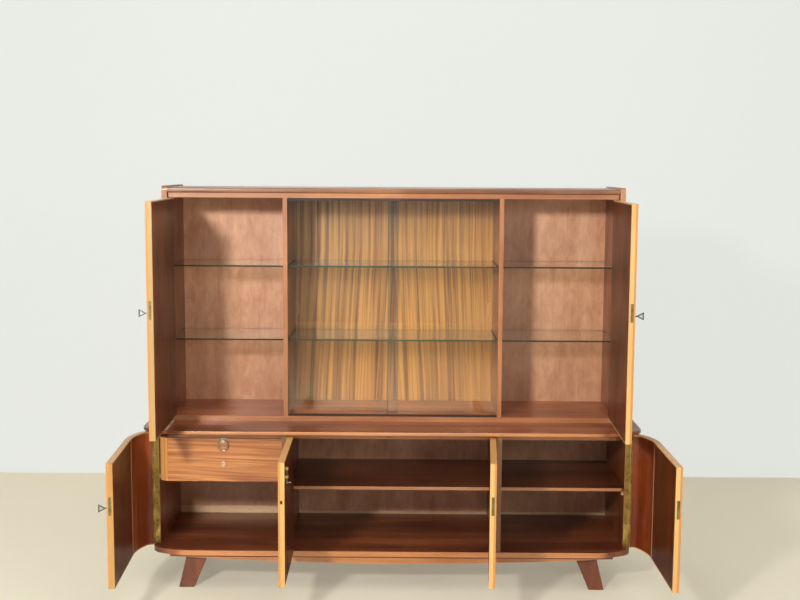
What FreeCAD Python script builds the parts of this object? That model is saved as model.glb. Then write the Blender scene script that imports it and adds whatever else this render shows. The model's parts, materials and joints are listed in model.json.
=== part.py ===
"""Highboard: a wide low cabinet with curved end doors, and a glazed hutch standing on it.

Millimetres, +X to the right, +Y to the back, +Z up. While the pieces are made, y runs from the
front edge of the lower top. They are then moved so that the origin lies on the floor, midway
between the back and the edges of the open end doors.
Every door stands open at the angle it has in use. Left and right pieces are mirror images.
"""
import FreeCAD
import Part
import math
import os

V = FreeCAD.Vector

# Heights of the lower cabinet
LEG_HEIGHT = 133.5
BOTTOM_THICK = 19.0
LOWER_CLEAR_HEIGHT = 423.5
TOP_STEP = 5.0
TOP_SLAB = 14.0

# Heights of the hutch
HUTCH_BOTTOM_THICK = 18.5
HUTCH_CLEAR_HEIGHT = 803.0
HUTCH_RAIL_HEIGHT = 17.0
HUTCH_TOP_THICK = 18.5
HUTCH_SIDE_RISE = 6.0

# Plan of the lower cabinet
CASE_HALF = 866.0
LOWER_SIDE_THICK = 19.0
LOWER_DIVIDER_INNER = 375.0
LOWER_DIVIDER_THICK = 18.0
BACK_PLANE = 484.0
BACK_THICK = 5.0
DOOR_FACE = 22.0
DOOR_THICK = 21.0
CURVE_RUN = 136.0
CURVE_DEPTH = 74.0
TIGHT_RADIUS = 50.0
BOTTOM_PROUD = 4.0
TOP_SIDE_OVERHANG = 34.0
TOP_EDGE_ROUND = 4.5

# Plan of the hutch
HUTCH_FRONT = 176.0
HUTCH_INSET = 27.0
HUTCH_SIDE_THICK = 20.0
HUTCH_SIDE_ROUND = 14.0
HUTCH_DIVIDER_INNER = 385.0
HUTCH_DIVIDER_THICK = 16.0
HUTCH_TOP_PROUD = 4.0
HUTCH_TOP_ROUND = 6.0
HUTCH_RAIL_THICK = 20.0
HUTCH_RAIL_SETBACK = 2.0
HUTCH_RAIL_END_GAP = 5.0

# Rails, shelves and their pins
FRONT_RAIL_HEIGHT = 19.0
FRONT_RAIL_FACE = 60.0
FRONT_RAIL_DEPTH = 38.0
LOWER_SHELF_RISE = 225.0
LOWER_SHELF_THICK = 11.5
LOWER_SHELF_FRONT = 74.0
INSIDE_GAP = 2.0
SHELF_END_GAP = 1.0
SHELF_BACK_GAP = 8.0
GLASS_SHELF_RISES = (284.0, 555.5)
GLASS_THICK = 5.5
GLASS_SHELF_SETBACK = 5.0
PIN_RADIUS = 3.0
PIN_LENGTH = 9.0
PIN_INSET = 40.0
PIN_GAP = 0.1

# Sliding glass
PANE_THICK = 4.0
PANE_OVERLAP = 36.0
PANE_GAP = 0.5
TRACK_DEPTH = 18.0
TRACK_SETBACK = 5.0
TRACK_WALL = 2.0
LOWER_TRACK_HEIGHT = 5.5
UPPER_TRACK_HEIGHT = 10.0
TRACK_FLOOR = 1.5
PANE_LIFT = 3.0
FINGER_PULL_LENGTH = 46.0
FINGER_PULL_WIDTH = 10.0
FINGER_PULL_DEEP = 1.5
FINGER_PULL_INSET = 36.0
FINGER_PULL_RISE = 400.0

# Doors, their lipping and hinges
DOOR_GAP = 2.0
FREE_GAP = 1.5
CENTRE_GAP = 2.0
EDGE_LIPPING = 7.0
RAIL_LIPPING = 4.0
LEAF_THICK = 0.9
BARREL_RADIUS = 2.6
BARREL_PROUD = 3.0
HINGE_PIN_RADIUS = 1.3
HINGE_RUNNING_GAP = 0.05
KNUCKLE_PITCH = 62.0
KNUCKLE_GAP = 0.4
LEAF_EDGE_GAP = 1.5
UPPER_LEFT_ANGLE = 88.9
UPPER_RIGHT_ANGLE = 88.3
END_LEFT_ANGLE = 87.0
END_RIGHT_ANGLE = 90.0
MIDDLE_LEFT_ANGLE = 89.2
MIDDLE_RIGHT_ANGLE = 86.2

# Locks and keys
UPPER_LOCK_RISE = 442.5
LOWER_LOCK_RISE = 279.5
FACEPLATE_LENGTH = 62.0
FACEPLATE_WIDTH = 10.0
FACEPLATE_THICK = 2.0
LOCK_LENGTH = 50.0
LOCK_DEEP = 36.0
LOCK_THICK = 9.0
BACKSET = 20.0
KEY_DROP = 12.0
BOLT_RISE = 9.0
BOLT_LENGTH = 24.0
BOLT_HEIGHT = 10.0
BOLT_THICK = 5.6
BOLT_GAP = 0.1
BOLT_THROW = 7.0
STRIKE_GAP = 1.0
KEY_SHAFT_RADIUS = 2.4
KEY_RUNNING_GAP = 0.05
KEY_HOLE_RADIUS = 3.3
KEY_REACH = 9.0
KEY_BIT_LENGTH = 5.7
KEY_BIT_THICK = 2.0
KEY_BIT_WIDTH = 4.0
KEY_CAVITY_RADIUS = 7.5
KEY_BOW_LENGTH = 22.0
KEY_BOW_WIDTH = 27.0
KEY_BOW_BAR = 4.0
KEY_BOW_THICK = 3.2

# Barrel bolt at the top of the middle left door, and the screw eye it slides into
BARREL_BOLT_INSET = 10.0
BOLT_ROD_RADIUS = 2.5
BOLT_ROD_LENGTH = 58.0
BOLT_ROD_STANDOFF = 8.0
BOLT_ROD_TOP_GAP = 16.0
BOLT_PLATE_WIDTH = 17.0
BOLT_PLATE_LENGTH = 54.0
BOLT_PLATE_THICK = 1.5
BOLT_PLATE_ABOVE_ROD = 2.0
BOLT_GUIDE_WIDTH = 9.5
BOLT_GUIDE_HEIGHT = 9.0
BOLT_GUIDE_WALL = 2.0
BOLT_GUIDE_DROPS = (11.0, 39.0)
BOLT_KNOB_RADIUS = 2.2
BOLT_KNOB_LENGTH = 11.0
BOLT_KNOB_RISE = 4.0
EYE_RADIUS = 6.0
EYE_WIRE = 1.3
EYE_SHANK_RADIUS = 1.6
EYE_DROP = 11.0

# Drawer
DRAWER_TOP_GAP = 2.5
DRAWER_FRONT_HEIGHT = 158.5
DRAWER_FACE = 64.0
DRAWER_FRONT_THICK = 22.0
DRAWER_END_GAP = 2.0
DRAWER_SIDE_THICK = 12.0
DRAWER_SIDE_HEIGHT = 128.0
DRAWER_DEPTH = 388.0
DRAWER_BOTTOM_THICK = 5.0
DRAWER_BOTTOM_RISE = 6.0
DRAWER_WALL_GAP = 5.0
DRAWER_LEFT_GAP = 11.0
RUNNER_HEIGHT = 13.5
RUNNER_RISE = 2.0
RUNNER_GAP = 0.3

# Ring pull, keyhole plate and lock of the drawer
PULL_OFFSET = 12.0
PULL_DROP = 26.5
RING_RADIUS = 18.0
RING_WIRE = 3.0
RING_STANDOFF = 5.5
BOSS_RADIUS = 6.0
BOSS_WALL = 1.3
BOSS_BORE = 4.4
ESCUTCHEON_DROP = 94.5
ESCUTCHEON_LENGTH = 20.0
ESCUTCHEON_WIDTH = 10.0
ESCUTCHEON_THICK = 1.2
KEYHOLE_RADIUS = 2.2
KEYHOLE_SLOT = 2.0
KEYHOLE_DROP = 7.0
DRAWER_LOCK_SIZE = (60.0, 12.0, 46.0)

# Base
BASE_INSET = 61.0
APRON_FACE = 36.0
BASE_RAIL_THICK = 20.0
APRON_END_HEIGHT = 8.0
APRON_BOW = 23.0
APRON_END_ROUND = 18.0
REAR_RAIL_SETBACK = 29.0
END_RAIL_HEIGHT = 16.0
LEG_TOP_INSET = 123.0
LEG_TOP_WIDTH = 79.0
LEG_FOOT_INSET = 91.0
LEG_FOOT_WIDTH = 55.0
LEG_TOP_GAP = 6.0
LEG_FOOT_GAP = 4.0
LEG_TOP_DEPTH = 44.0
LEG_FOOT_DEPTH = 32.0
LEG_EDGE_ROUND = 3.0

# Levels that follow from the heights
BOTTOM_TOP = LEG_HEIGHT + BOTTOM_THICK
LOWER_CEILING = BOTTOM_TOP + LOWER_CLEAR_HEIGHT
SLAB_UNDER = LOWER_CEILING + TOP_STEP
LOWER_TOP = SLAB_UNDER + TOP_SLAB
HUTCH_FLOOR = LOWER_TOP + HUTCH_BOTTOM_THICK
HUTCH_CEILING = HUTCH_FLOOR + HUTCH_CLEAR_HEIGHT
HUTCH_TOP_UNDER = HUTCH_CEILING + HUTCH_RAIL_HEIGHT
HUTCH_TOP = HUTCH_TOP_UNDER + HUTCH_TOP_THICK
HUTCH_SIDE_TOP = HUTCH_TOP + HUTCH_SIDE_RISE
LOWER_SHELF_TOP = BOTTOM_TOP + LOWER_SHELF_RISE
FRONT_RAIL_UNDER = LOWER_CEILING - FRONT_RAIL_HEIGHT
DRAWER_FRONT_TOP = FRONT_RAIL_UNDER - DRAWER_TOP_GAP
DRAWER_FRONT_FOOT = DRAWER_FRONT_TOP - DRAWER_FRONT_HEIGHT
RUNNER_TOP = DRAWER_FRONT_FOOT + RUNNER_RISE + RUNNER_HEIGHT
PULL_HEIGHT = DRAWER_FRONT_TOP - PULL_DROP
ESCUTCHEON_HEIGHT = DRAWER_FRONT_TOP - ESCUTCHEON_DROP
UPPER_LOCK_HEIGHT = HUTCH_FLOOR + UPPER_LOCK_RISE
LOWER_LOCK_HEIGHT = BOTTOM_TOP + LOWER_LOCK_RISE
FINGER_PULL_HEIGHT = HUTCH_FLOOR + FINGER_PULL_RISE
GLASS_SHELF_HEIGHTS = [HUTCH_FLOOR + rise for rise in GLASS_SHELF_RISES]

# Planes that follow from the plan
CASE_BACK = BACK_PLANE + BACK_THICK
LOWER_SIDE_INNER = CASE_HALF - LOWER_SIDE_THICK
LOWER_DIVIDER_OUTER = LOWER_DIVIDER_INNER + LOWER_DIVIDER_THICK
HUTCH_HALF = CASE_HALF - HUTCH_INSET
HUTCH_SIDE_INNER = HUTCH_HALF - HUTCH_SIDE_THICK
HUTCH_DIVIDER_OUTER = HUTCH_DIVIDER_INNER + HUTCH_DIVIDER_THICK
END_DOOR_EDGE = DOOR_FACE + CURVE_DEPTH
LOWER_SIDE_FRONT = END_DOOR_EDGE + DOOR_GAP
LOWER_DOOR_FOOT = BOTTOM_TOP + DOOR_GAP
LOWER_DOOR_HEAD = LOWER_CEILING - DOOR_GAP
UPPER_DOOR_FOOT = HUTCH_FLOOR + DOOR_GAP
UPPER_DOOR_HEAD = HUTCH_CEILING - DOOR_GAP
UPPER_DOOR_BACK = HUTCH_FRONT + DOOR_THICK
PULL_X = PULL_OFFSET - (LOWER_DIVIDER_OUTER + LOWER_SIDE_INNER) / 2
RING_AXIS = DRAWER_FACE - RING_STANDOFF
END_DOOR_REACH = CASE_HALF - LOWER_DIVIDER_OUTER - END_DOOR_EDGE
ORIGIN_Y = (CASE_BACK - END_DOOR_REACH) / 2

# Hinge axes of the doors on the right
END_PIVOT = (CASE_HALF + BARREL_PROUD, END_DOOR_EDGE + DOOR_GAP / 2)
MIDDLE_PIVOT = (LOWER_DIVIDER_INNER - DOOR_GAP / 2, DOOR_FACE - BARREL_PROUD)
UPPER_PIVOT = (HUTCH_SIDE_INNER - DOOR_GAP / 2, HUTCH_FRONT - BARREL_PROUD)


def box(low, high):
    """A board between two opposite corners."""
    size = [b - a for a, b in zip(low, high)]
    return Part.makeBox(*size, V(*low))


def rod(start, along, length, radius):
    """A round bar."""
    return Part.makeCylinder(radius, length, V(*start), V(*along))


def mirrored(shape):
    """The left-hand twin of a piece on the right."""
    return shape.mirror(V(0, 0, 0), V(1, 0, 0))


def pair(shape):
    """A piece on the right and its twin on the left."""
    return [shape, mirrored(shape)]


def polygon_edges(points):
    """The straight edges of a closed plan outline."""
    corners = [V(x, y, 0) for x, y in points]
    return [Part.LineSegment(a, b).toShape() for a, b in zip(corners, corners[1:] + corners[:1])]


def line(a, b):
    return Part.LineSegment(V(*a, 0), V(*b, 0)).toShape()


def arc(centre, radius, start, end):
    """An arc in plan from one direction to another, in degrees."""
    points = []
    for degrees in (start, (start + end) / 2, end):
        turn = math.radians(degrees)
        points.append(V(centre[0] + radius * math.cos(turn), centre[1] + radius * math.sin(turn), 0))
    return Part.Arc(*points).toShape()


class Corner:
    """A front corner drawn with two tangent arcs: a wide one off the front, a tight one at the side."""

    def __init__(self, half, front, run, depth, tight):
        reach = run - tight
        self.wide = (reach**2 + depth**2 - tight**2) / (2 * (depth - tight))
        self.tight = tight
        self.start = half - run
        self.front = front
        self.half = half
        self.edge = front + depth
        self.wide_centre = (self.start, front + self.wide)
        self.tight_centre = (half - tight, self.edge)
        self.meet = math.degrees(math.atan2(depth - self.wide, reach))

    def edges(self, inset):
        """From the flat front to the side, parallel to the corner at a distance inside it."""
        return [
            arc(self.wide_centre, self.wide - inset, -90, self.meet),
            arc(self.tight_centre, self.tight - inset, self.meet, 0),
        ]

    def band(self, free, outer, inner):
        """The plan of a curved front between two insets, from its free edge to the side."""
        front, back = self.front + outer, self.front + inner
        return (
            [line((free, front), (self.start, front))]
            + self.edges(outer)
            + [line((self.half - outer, self.edge), (self.half - inner, self.edge))]
            + self.edges(inner)
            + [line((self.start, back), (free, back)), line((free, back), (free, front))]
        )

    def board(self, back, inset=0.0):
        """The plan of a board with this corner at both ends and a straight back."""
        right = self.edges(inset)
        left = [mirrored(e) for e in right]
        side = self.half - inset
        front = self.front + inset
        return (
            [line((-self.start, front), (self.start, front))]
            + right
            + [line((side, self.edge), (side, back)), line((side, back), (-side, back))]
            + [line((-side, back), (-side, self.edge))]
            + left
        )


DOOR_CORNER = Corner(CASE_HALF, DOOR_FACE, CURVE_RUN, CURVE_DEPTH, TIGHT_RADIUS)
BOTTOM_CORNER = Corner(
    CASE_HALF + BOTTOM_PROUD,
    DOOR_FACE - BOTTOM_PROUD,
    CURVE_RUN + BOTTOM_PROUD,
    CURVE_DEPTH + BOTTOM_PROUD,
    TIGHT_RADIUS + BOTTOM_PROUD,
)
TOP_CORNER = Corner(
    CASE_HALF + TOP_SIDE_OVERHANG,
    0.0,
    CURVE_RUN + TOP_SIDE_OVERHANG,
    CURVE_DEPTH + DOOR_FACE,
    TIGHT_RADIUS + DOOR_FACE,
)


def raised(edges, low, high):
    """A plan outline given as loose edges, raised between two heights."""
    face = Part.Face(Part.Wire(Part.__sortEdges__(edges)))
    face.translate(V(0, 0, low))
    return face.extrude(V(0, 0, high - low))


def inside_doors(shape):
    """The part of a piece that lies behind the shut doors, with room to spare."""
    plan = DOOR_CORNER.board(CASE_BACK, DOOR_THICK + INSIDE_GAP)
    return shape.common(raised(plan, LEG_HEIGHT, LOWER_TOP))


def rounded(solid, radius, chosen):
    """Rounds the edges whose middle passes the test."""
    picked = []
    for edge in solid.Edges:
        middle = edge.valueAt((edge.FirstParameter + edge.LastParameter) / 2)
        if chosen(edge, middle):
            picked.append(edge)
    return solid.makeFillet(radius, picked)


def lower_top():
    """The overhanging slab and the step under it that the doors close against."""
    slab = raised(TOP_CORNER.board(CASE_BACK), SLAB_UNDER, LOWER_TOP)

    def front_edge(edge, middle):
        flat = abs(edge.BoundBox.ZLength) < 1e-6
        return flat and middle.y < CASE_BACK - 1e-3

    slab = rounded(slab, TOP_EDGE_ROUND, front_edge)
    step = raised(DOOR_CORNER.board(CASE_BACK), LOWER_CEILING, SLAB_UNDER)
    return slab.fuse(step).removeSplitter()


def lower_bottom():
    return raised(BOTTOM_CORNER.board(CASE_BACK), LEG_HEIGHT, BOTTOM_TOP)


def lower_sides():
    return pair(
        box((LOWER_SIDE_INNER, LOWER_SIDE_FRONT, BOTTOM_TOP), (CASE_HALF, CASE_BACK, LOWER_CEILING))
    )


def strike_slot(x, door_front, lock_height):
    """The slot that a thrown bolt enters, on the right-hand face of a divider."""
    middle = door_front + DOOR_THICK / 2
    half = BOLT_THICK / 2 + STRIKE_GAP
    tall = BOLT_HEIGHT / 2 + STRIKE_GAP
    height = lock_height + BOLT_RISE
    deep = BOLT_THROW + STRIKE_GAP
    return box((x - deep, middle - half, height - tall), (x + STRIKE_GAP, middle + half, height + tall))


def lower_dividers():
    board = box(
        (LOWER_DIVIDER_INNER, DOOR_FACE, BOTTOM_TOP),
        (LOWER_DIVIDER_OUTER, BACK_PLANE, LOWER_CEILING),
    )
    return pair(board.cut(strike_slot(LOWER_DIVIDER_OUTER, DOOR_FACE, LOWER_LOCK_HEIGHT)))


def lower_back():
    return box(
        (-LOWER_SIDE_INNER, BACK_PLANE, BOTTOM_TOP), (LOWER_SIDE_INNER, CASE_BACK, LOWER_CEILING)
    )


def lower_front_rails():
    """Rails under the top: one between the dividers and one beyond each of them."""
    low = (-LOWER_DIVIDER_INNER, FRONT_RAIL_FACE, FRONT_RAIL_UNDER)
    back = FRONT_RAIL_FACE + FRONT_RAIL_DEPTH
    middle = box(low, (LOWER_DIVIDER_INNER, back, LOWER_CEILING))
    end = box((LOWER_DIVIDER_OUTER, *low[1:]), (LOWER_SIDE_INNER, back, LOWER_CEILING))
    return [middle] + pair(inside_doors(end))


def lower_shelves():
    """The middle shelf, and the right one with a corner curved to clear the end door."""
    low = LOWER_SHELF_TOP - LOWER_SHELF_THICK
    back = BACK_PLANE - SHELF_BACK_GAP
    half = LOWER_DIVIDER_INNER - SHELF_END_GAP
    middle = box((-half, LOWER_SHELF_FRONT, low), (half, back, LOWER_SHELF_TOP))
    right = box(
        (LOWER_DIVIDER_OUTER + SHELF_END_GAP, LOWER_SHELF_FRONT, low),
        (LOWER_SIDE_INNER - SHELF_END_GAP, back, LOWER_SHELF_TOP),
    )
    return [middle, inside_doors(right)]


def pins_under(left, right, front, back, under):
    """Four pins that carry one shelf, two on each upright beside it."""
    height = under - PIN_RADIUS - PIN_GAP
    pins = []
    for y in (front + PIN_INSET, back - PIN_INSET):
        pins.append(rod((left, y, height), (1, 0, 0), PIN_LENGTH, PIN_RADIUS))
        pins.append(rod((right, y, height), (-1, 0, 0), PIN_LENGTH, PIN_RADIUS))
    return pins


def hutch_bays():
    """Left and right walls of the three bays of the hutch."""
    return (
        (-HUTCH_SIDE_INNER, -HUTCH_DIVIDER_OUTER),
        (-HUTCH_DIVIDER_INNER, HUTCH_DIVIDER_INNER),
        (HUTCH_DIVIDER_OUTER, HUTCH_SIDE_INNER),
    )


def glass_shelf_front(bay):
    """Side shelves stand behind the doors, the middle ones behind the sliding glass."""
    if bay == 1:
        return HUTCH_FRONT + TRACK_SETBACK + TRACK_DEPTH + GLASS_SHELF_SETBACK
    return UPPER_DOOR_BACK + GLASS_SHELF_SETBACK


def shelf_pins():
    low = LOWER_SHELF_TOP - LOWER_SHELF_THICK
    back = BACK_PLANE - SHELF_BACK_GAP
    pins = []
    for left, right in (
        (-LOWER_DIVIDER_INNER, LOWER_DIVIDER_INNER),
        (LOWER_DIVIDER_OUTER, LOWER_SIDE_INNER),
    ):
        pins += pins_under(left, right, LOWER_SHELF_FRONT, back, low)
    for bay, (left, right) in enumerate(hutch_bays()):
        for height in GLASS_SHELF_HEIGHTS:
            pins += pins_under(left, right, glass_shelf_front(bay), back, height - GLASS_THICK)
    return pins


def glass_shelves():
    back = BACK_PLANE - SHELF_BACK_GAP
    plates = []
    for bay, (left, right) in enumerate(hutch_bays()):
        for height in GLASS_SHELF_HEIGHTS:
            low = (left + SHELF_END_GAP, glass_shelf_front(bay), height - GLASS_THICK)
            plates.append(box(low, (right - SHELF_END_GAP, back, height)))
    return plates


def base_rails():
    """A bowed apron in front, a rear rail and the end rails between them."""
    half = CASE_HALF - BASE_INSET
    top = LEG_HEIGHT
    end = top - APRON_END_HEIGHT
    rear = CASE_BACK - REAR_RAIL_SETBACK

    def corner(x, z):
        return V(x, APRON_FACE, z)

    outline = Part.Wire(
        [
            Part.LineSegment(corner(-half, top), corner(half, top)).toShape(),
            Part.LineSegment(corner(half, top), corner(half, end)).toShape(),
            Part.Arc(corner(half, end), corner(0, end - APRON_BOW), corner(-half, end)).toShape(),
            Part.LineSegment(corner(-half, end), corner(-half, top)).toShape(),
        ]
    )
    apron = Part.Face(outline).extrude(V(0, BASE_RAIL_THICK, 0))

    def front_ends(edge, middle):
        upright = max(edge.BoundBox.XLength, edge.BoundBox.YLength) < APRON_END_ROUND
        return upright and middle.y < APRON_FACE + BASE_RAIL_THICK / 2

    apron = rounded(apron, APRON_END_ROUND, front_ends)
    low = top - END_RAIL_HEIGHT
    back = box((-half, rear - BASE_RAIL_THICK, low), (half, rear, top))
    side = box(
        (half - BASE_RAIL_THICK, APRON_FACE + BASE_RAIL_THICK, low), (half, rear - BASE_RAIL_THICK, top)
    )
    return [apron, back] + pair(side)


def leg(rail, backwards):
    """A tapered leg that splays outwards, behind the rail face at the given y."""

    def outline(inset, width, gap, depth, height):
        outer = CASE_HALF - inset
        near = rail + backwards * gap
        far = near + backwards * depth
        points = [(outer - width, near), (outer, near), (outer, far), (outer - width, far)]
        corners = [V(x, y, height) for x, y in points]
        return Part.makePolygon(corners + corners[:1])

    foot = outline(LEG_FOOT_INSET, LEG_FOOT_WIDTH, LEG_FOOT_GAP, LEG_FOOT_DEPTH, 0)
    head = outline(LEG_TOP_INSET, LEG_TOP_WIDTH, LEG_TOP_GAP, LEG_TOP_DEPTH, LEG_HEIGHT)
    solid = Part.makeLoft([foot, head], True, True)

    def uprights(edge, middle):
        return edge.BoundBox.ZLength > LEG_HEIGHT / 2

    return rounded(solid, LEG_EDGE_ROUND, uprights)


def legs():
    front = leg(APRON_FACE + BASE_RAIL_THICK, 1)
    rear = leg(CASE_BACK - REAR_RAIL_SETBACK - BASE_RAIL_THICK, -1)
    return pair(front) + pair(rear)


def hutch_sides():
    """Uprights with a rounded front top corner that rise a little above the top."""
    board = box(
        (HUTCH_SIDE_INNER, HUTCH_FRONT, LOWER_TOP), (HUTCH_HALF, CASE_BACK, HUTCH_SIDE_TOP)
    )

    def top_front(edge, middle):
        across = edge.BoundBox.XLength > HUTCH_SIDE_THICK / 2
        return across and middle.y < HUTCH_FRONT + HUTCH_SIDE_ROUND and middle.z > HUTCH_TOP

    return pair(rounded(board, HUTCH_SIDE_ROUND, top_front))


def hutch_dividers():
    """Full-height dividers, notched behind the top rail."""
    front = HUTCH_FRONT + HUTCH_RAIL_SETBACK
    board = box(
        (HUTCH_DIVIDER_INNER, front, HUTCH_FLOOR), (HUTCH_DIVIDER_OUTER, BACK_PLANE, HUTCH_TOP_UNDER)
    )
    slot = strike_slot(HUTCH_DIVIDER_OUTER, HUTCH_FRONT, UPPER_LOCK_HEIGHT)
    return pair(board.cut(slot).cut(hutch_rail()))


def hutch_bottom():
    return box(
        (-HUTCH_SIDE_INNER, HUTCH_FRONT, LOWER_TOP), (HUTCH_SIDE_INNER, CASE_BACK, HUTCH_FLOOR)
    )


def hutch_top():
    """The top board with its nosed front edge."""
    board = box(
        (-HUTCH_SIDE_INNER, HUTCH_FRONT - HUTCH_TOP_PROUD, HUTCH_TOP_UNDER),
        (HUTCH_SIDE_INNER, CASE_BACK, HUTCH_TOP),
    )

    def nose(edge, middle):
        return edge.BoundBox.XLength > HUTCH_SIDE_INNER and middle.y < HUTCH_FRONT

    return rounded(board, HUTCH_TOP_ROUND, nose)


def hutch_rail():
    front = HUTCH_FRONT + HUTCH_RAIL_SETBACK
    return box(
        (-HUTCH_SIDE_INNER + HUTCH_RAIL_END_GAP, front, HUTCH_CEILING),
        (HUTCH_SIDE_INNER - HUTCH_RAIL_END_GAP, front + HUTCH_RAIL_THICK, HUTCH_TOP_UNDER),
    )


def hutch_back(left, right):
    return box((left, BACK_PLANE, HUTCH_FLOOR), (right, CASE_BACK, HUTCH_TOP_UNDER))


def back_seam():
    """The back panels meet behind the middle of each divider."""
    return HUTCH_DIVIDER_INNER + HUTCH_DIVIDER_THICK / 2


def track_grooves():
    """Front and rear plane of each groove: the first for the right pane, the second for the left."""
    front = HUTCH_FRONT + TRACK_SETBACK + TRACK_WALL
    wide = PANE_THICK + 2 * PANE_GAP
    rear = HUTCH_FRONT + TRACK_SETBACK + TRACK_DEPTH - TRACK_WALL - wide
    return (front, front + wide), (rear, rear + wide)


def glass_tracks():
    """Lower and upper strips with two grooves for the panes."""
    half = HUTCH_DIVIDER_INNER
    front = HUTCH_FRONT + TRACK_SETBACK
    back = front + TRACK_DEPTH
    lower = box((-half, front, HUTCH_FLOOR), (half, back, HUTCH_FLOOR + LOWER_TRACK_HEIGHT))
    upper = box((-half, front, HUTCH_CEILING - UPPER_TRACK_HEIGHT), (half, back, HUTCH_CEILING))
    for a, b in track_grooves():
        lower = lower.cut(
            box((-half, a, HUTCH_FLOOR + TRACK_FLOOR), (half, b, HUTCH_FLOOR + LOWER_TRACK_HEIGHT))
        )
        upper = upper.cut(
            box((-half, a, HUTCH_CEILING - UPPER_TRACK_HEIGHT), (half, b, HUTCH_CEILING - TRACK_FLOOR))
        )
    return [lower, upper]


def glass_pane(side):
    """A sliding pane with a ground finger pull. The right one (side 1) runs in the front groove."""
    groove = track_grooves()[0 if side > 0 else 1]
    front = groove[0] + PANE_GAP
    back = groove[1] - PANE_GAP
    low = HUTCH_FLOOR + TRACK_FLOOR + PANE_GAP
    high = HUTCH_CEILING - TRACK_FLOOR - PANE_LIFT
    outer = HUTCH_DIVIDER_INNER - PANE_GAP
    inner = -PANE_OVERLAP / 2
    pane = box((inner, front, low), (outer, back, high))
    x = HUTCH_DIVIDER_INNER - FINGER_PULL_INSET
    half = FINGER_PULL_LENGTH / 2 - FINGER_PULL_WIDTH / 2
    radius = FINGER_PULL_WIDTH / 2
    pull = box(
        (x - radius, front, FINGER_PULL_HEIGHT - half),
        (x + radius, front + FINGER_PULL_DEEP, FINGER_PULL_HEIGHT + half),
    )
    for z in (FINGER_PULL_HEIGHT - half, FINGER_PULL_HEIGHT + half):
        pull = pull.fuse(rod((x, front, z), (0, 1, 0), FINGER_PULL_DEEP, radius))
    pane = pane.cut(pull.removeSplitter())
    return pane if side > 0 else mirrored(pane)


def knuckle_spans(foot, head):
    """Heights of the hinge knuckles. Every other one belongs to the door."""
    count = max(3, 2 * int((head - foot) / KNUCKLE_PITCH / 2) + 1)
    pitch = (head - foot) / count
    return [(foot + i * pitch, foot + (i + 1) * pitch) for i in range(count)]


def hinge_leaf(pivot, plate, tab, foot, head, odd):
    """One leaf: a plate on a board's edge, with bored knuckles on its own share of the spans.

    plate and tab are plan boxes given as low and high corners."""
    leaf = box((*plate[0], foot), (*plate[1], head))
    for i, (low, high) in enumerate(knuckle_spans(foot, head)):
        if i % 2 != odd:
            continue
        low += KNUCKLE_GAP / 2
        high -= KNUCKLE_GAP / 2
        leaf = leaf.fuse(box((*tab[0], low), (*tab[1], high)))
        leaf = leaf.fuse(rod((*pivot, low), (0, 0, 1), high - low, BARREL_RADIUS))
    bore = HINGE_PIN_RADIUS + HINGE_RUNNING_GAP
    leaf = leaf.cut(rod((*pivot, foot), (0, 0, 1), head - foot, bore))
    return leaf.removeSplitter()


def end_hinge(foot, head):
    """Frame and door leaves of an end door: they lie between the side's front edge and the door."""
    x, y = END_PIVOT
    near = CASE_HALF - (BARREL_RADIUS + KNUCKLE_GAP - BARREL_PROUD)
    far = LOWER_SIDE_INNER + LEAF_EDGE_GAP
    frame = ((far, LOWER_SIDE_FRONT - LEAF_THICK), (near, LOWER_SIDE_FRONT))
    frame_tab = ((near, LOWER_SIDE_FRONT - LEAF_THICK), (x, LOWER_SIDE_FRONT))
    door = ((far, END_DOOR_EDGE), (near, END_DOOR_EDGE + LEAF_THICK))
    door_tab = ((near, END_DOOR_EDGE), (x, END_DOOR_EDGE + LEAF_THICK))
    return (
        hinge_leaf(END_PIVOT, frame, frame_tab, foot, head, 0),
        hinge_leaf(END_PIVOT, door, door_tab, foot, head, 1),
    )


def inset_hinge(pivot, jamb, face, foot, head):
    """Frame and door leaves of an inset door: they lie between the jamb and the door's edge."""
    x, y = pivot
    near = face + (BARREL_RADIUS + KNUCKLE_GAP - BARREL_PROUD)
    far = face + DOOR_THICK - LEAF_EDGE_GAP
    edge = jamb - DOOR_GAP
    frame = ((jamb - LEAF_THICK, near), (jamb, far))
    frame_tab = ((jamb - LEAF_THICK, y), (jamb, near))
    door = ((edge, near), (edge + LEAF_THICK, far))
    door_tab = ((edge, y), (edge + LEAF_THICK, near))
    return (
        hinge_leaf(pivot, frame, frame_tab, foot, head, 0),
        hinge_leaf(pivot, door, door_tab, foot, head, 1),
    )


def hinge_pin(pivot, foot, head):
    return rod((*pivot, foot), (0, 0, 1), head - foot, HINGE_PIN_RADIUS)


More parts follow.
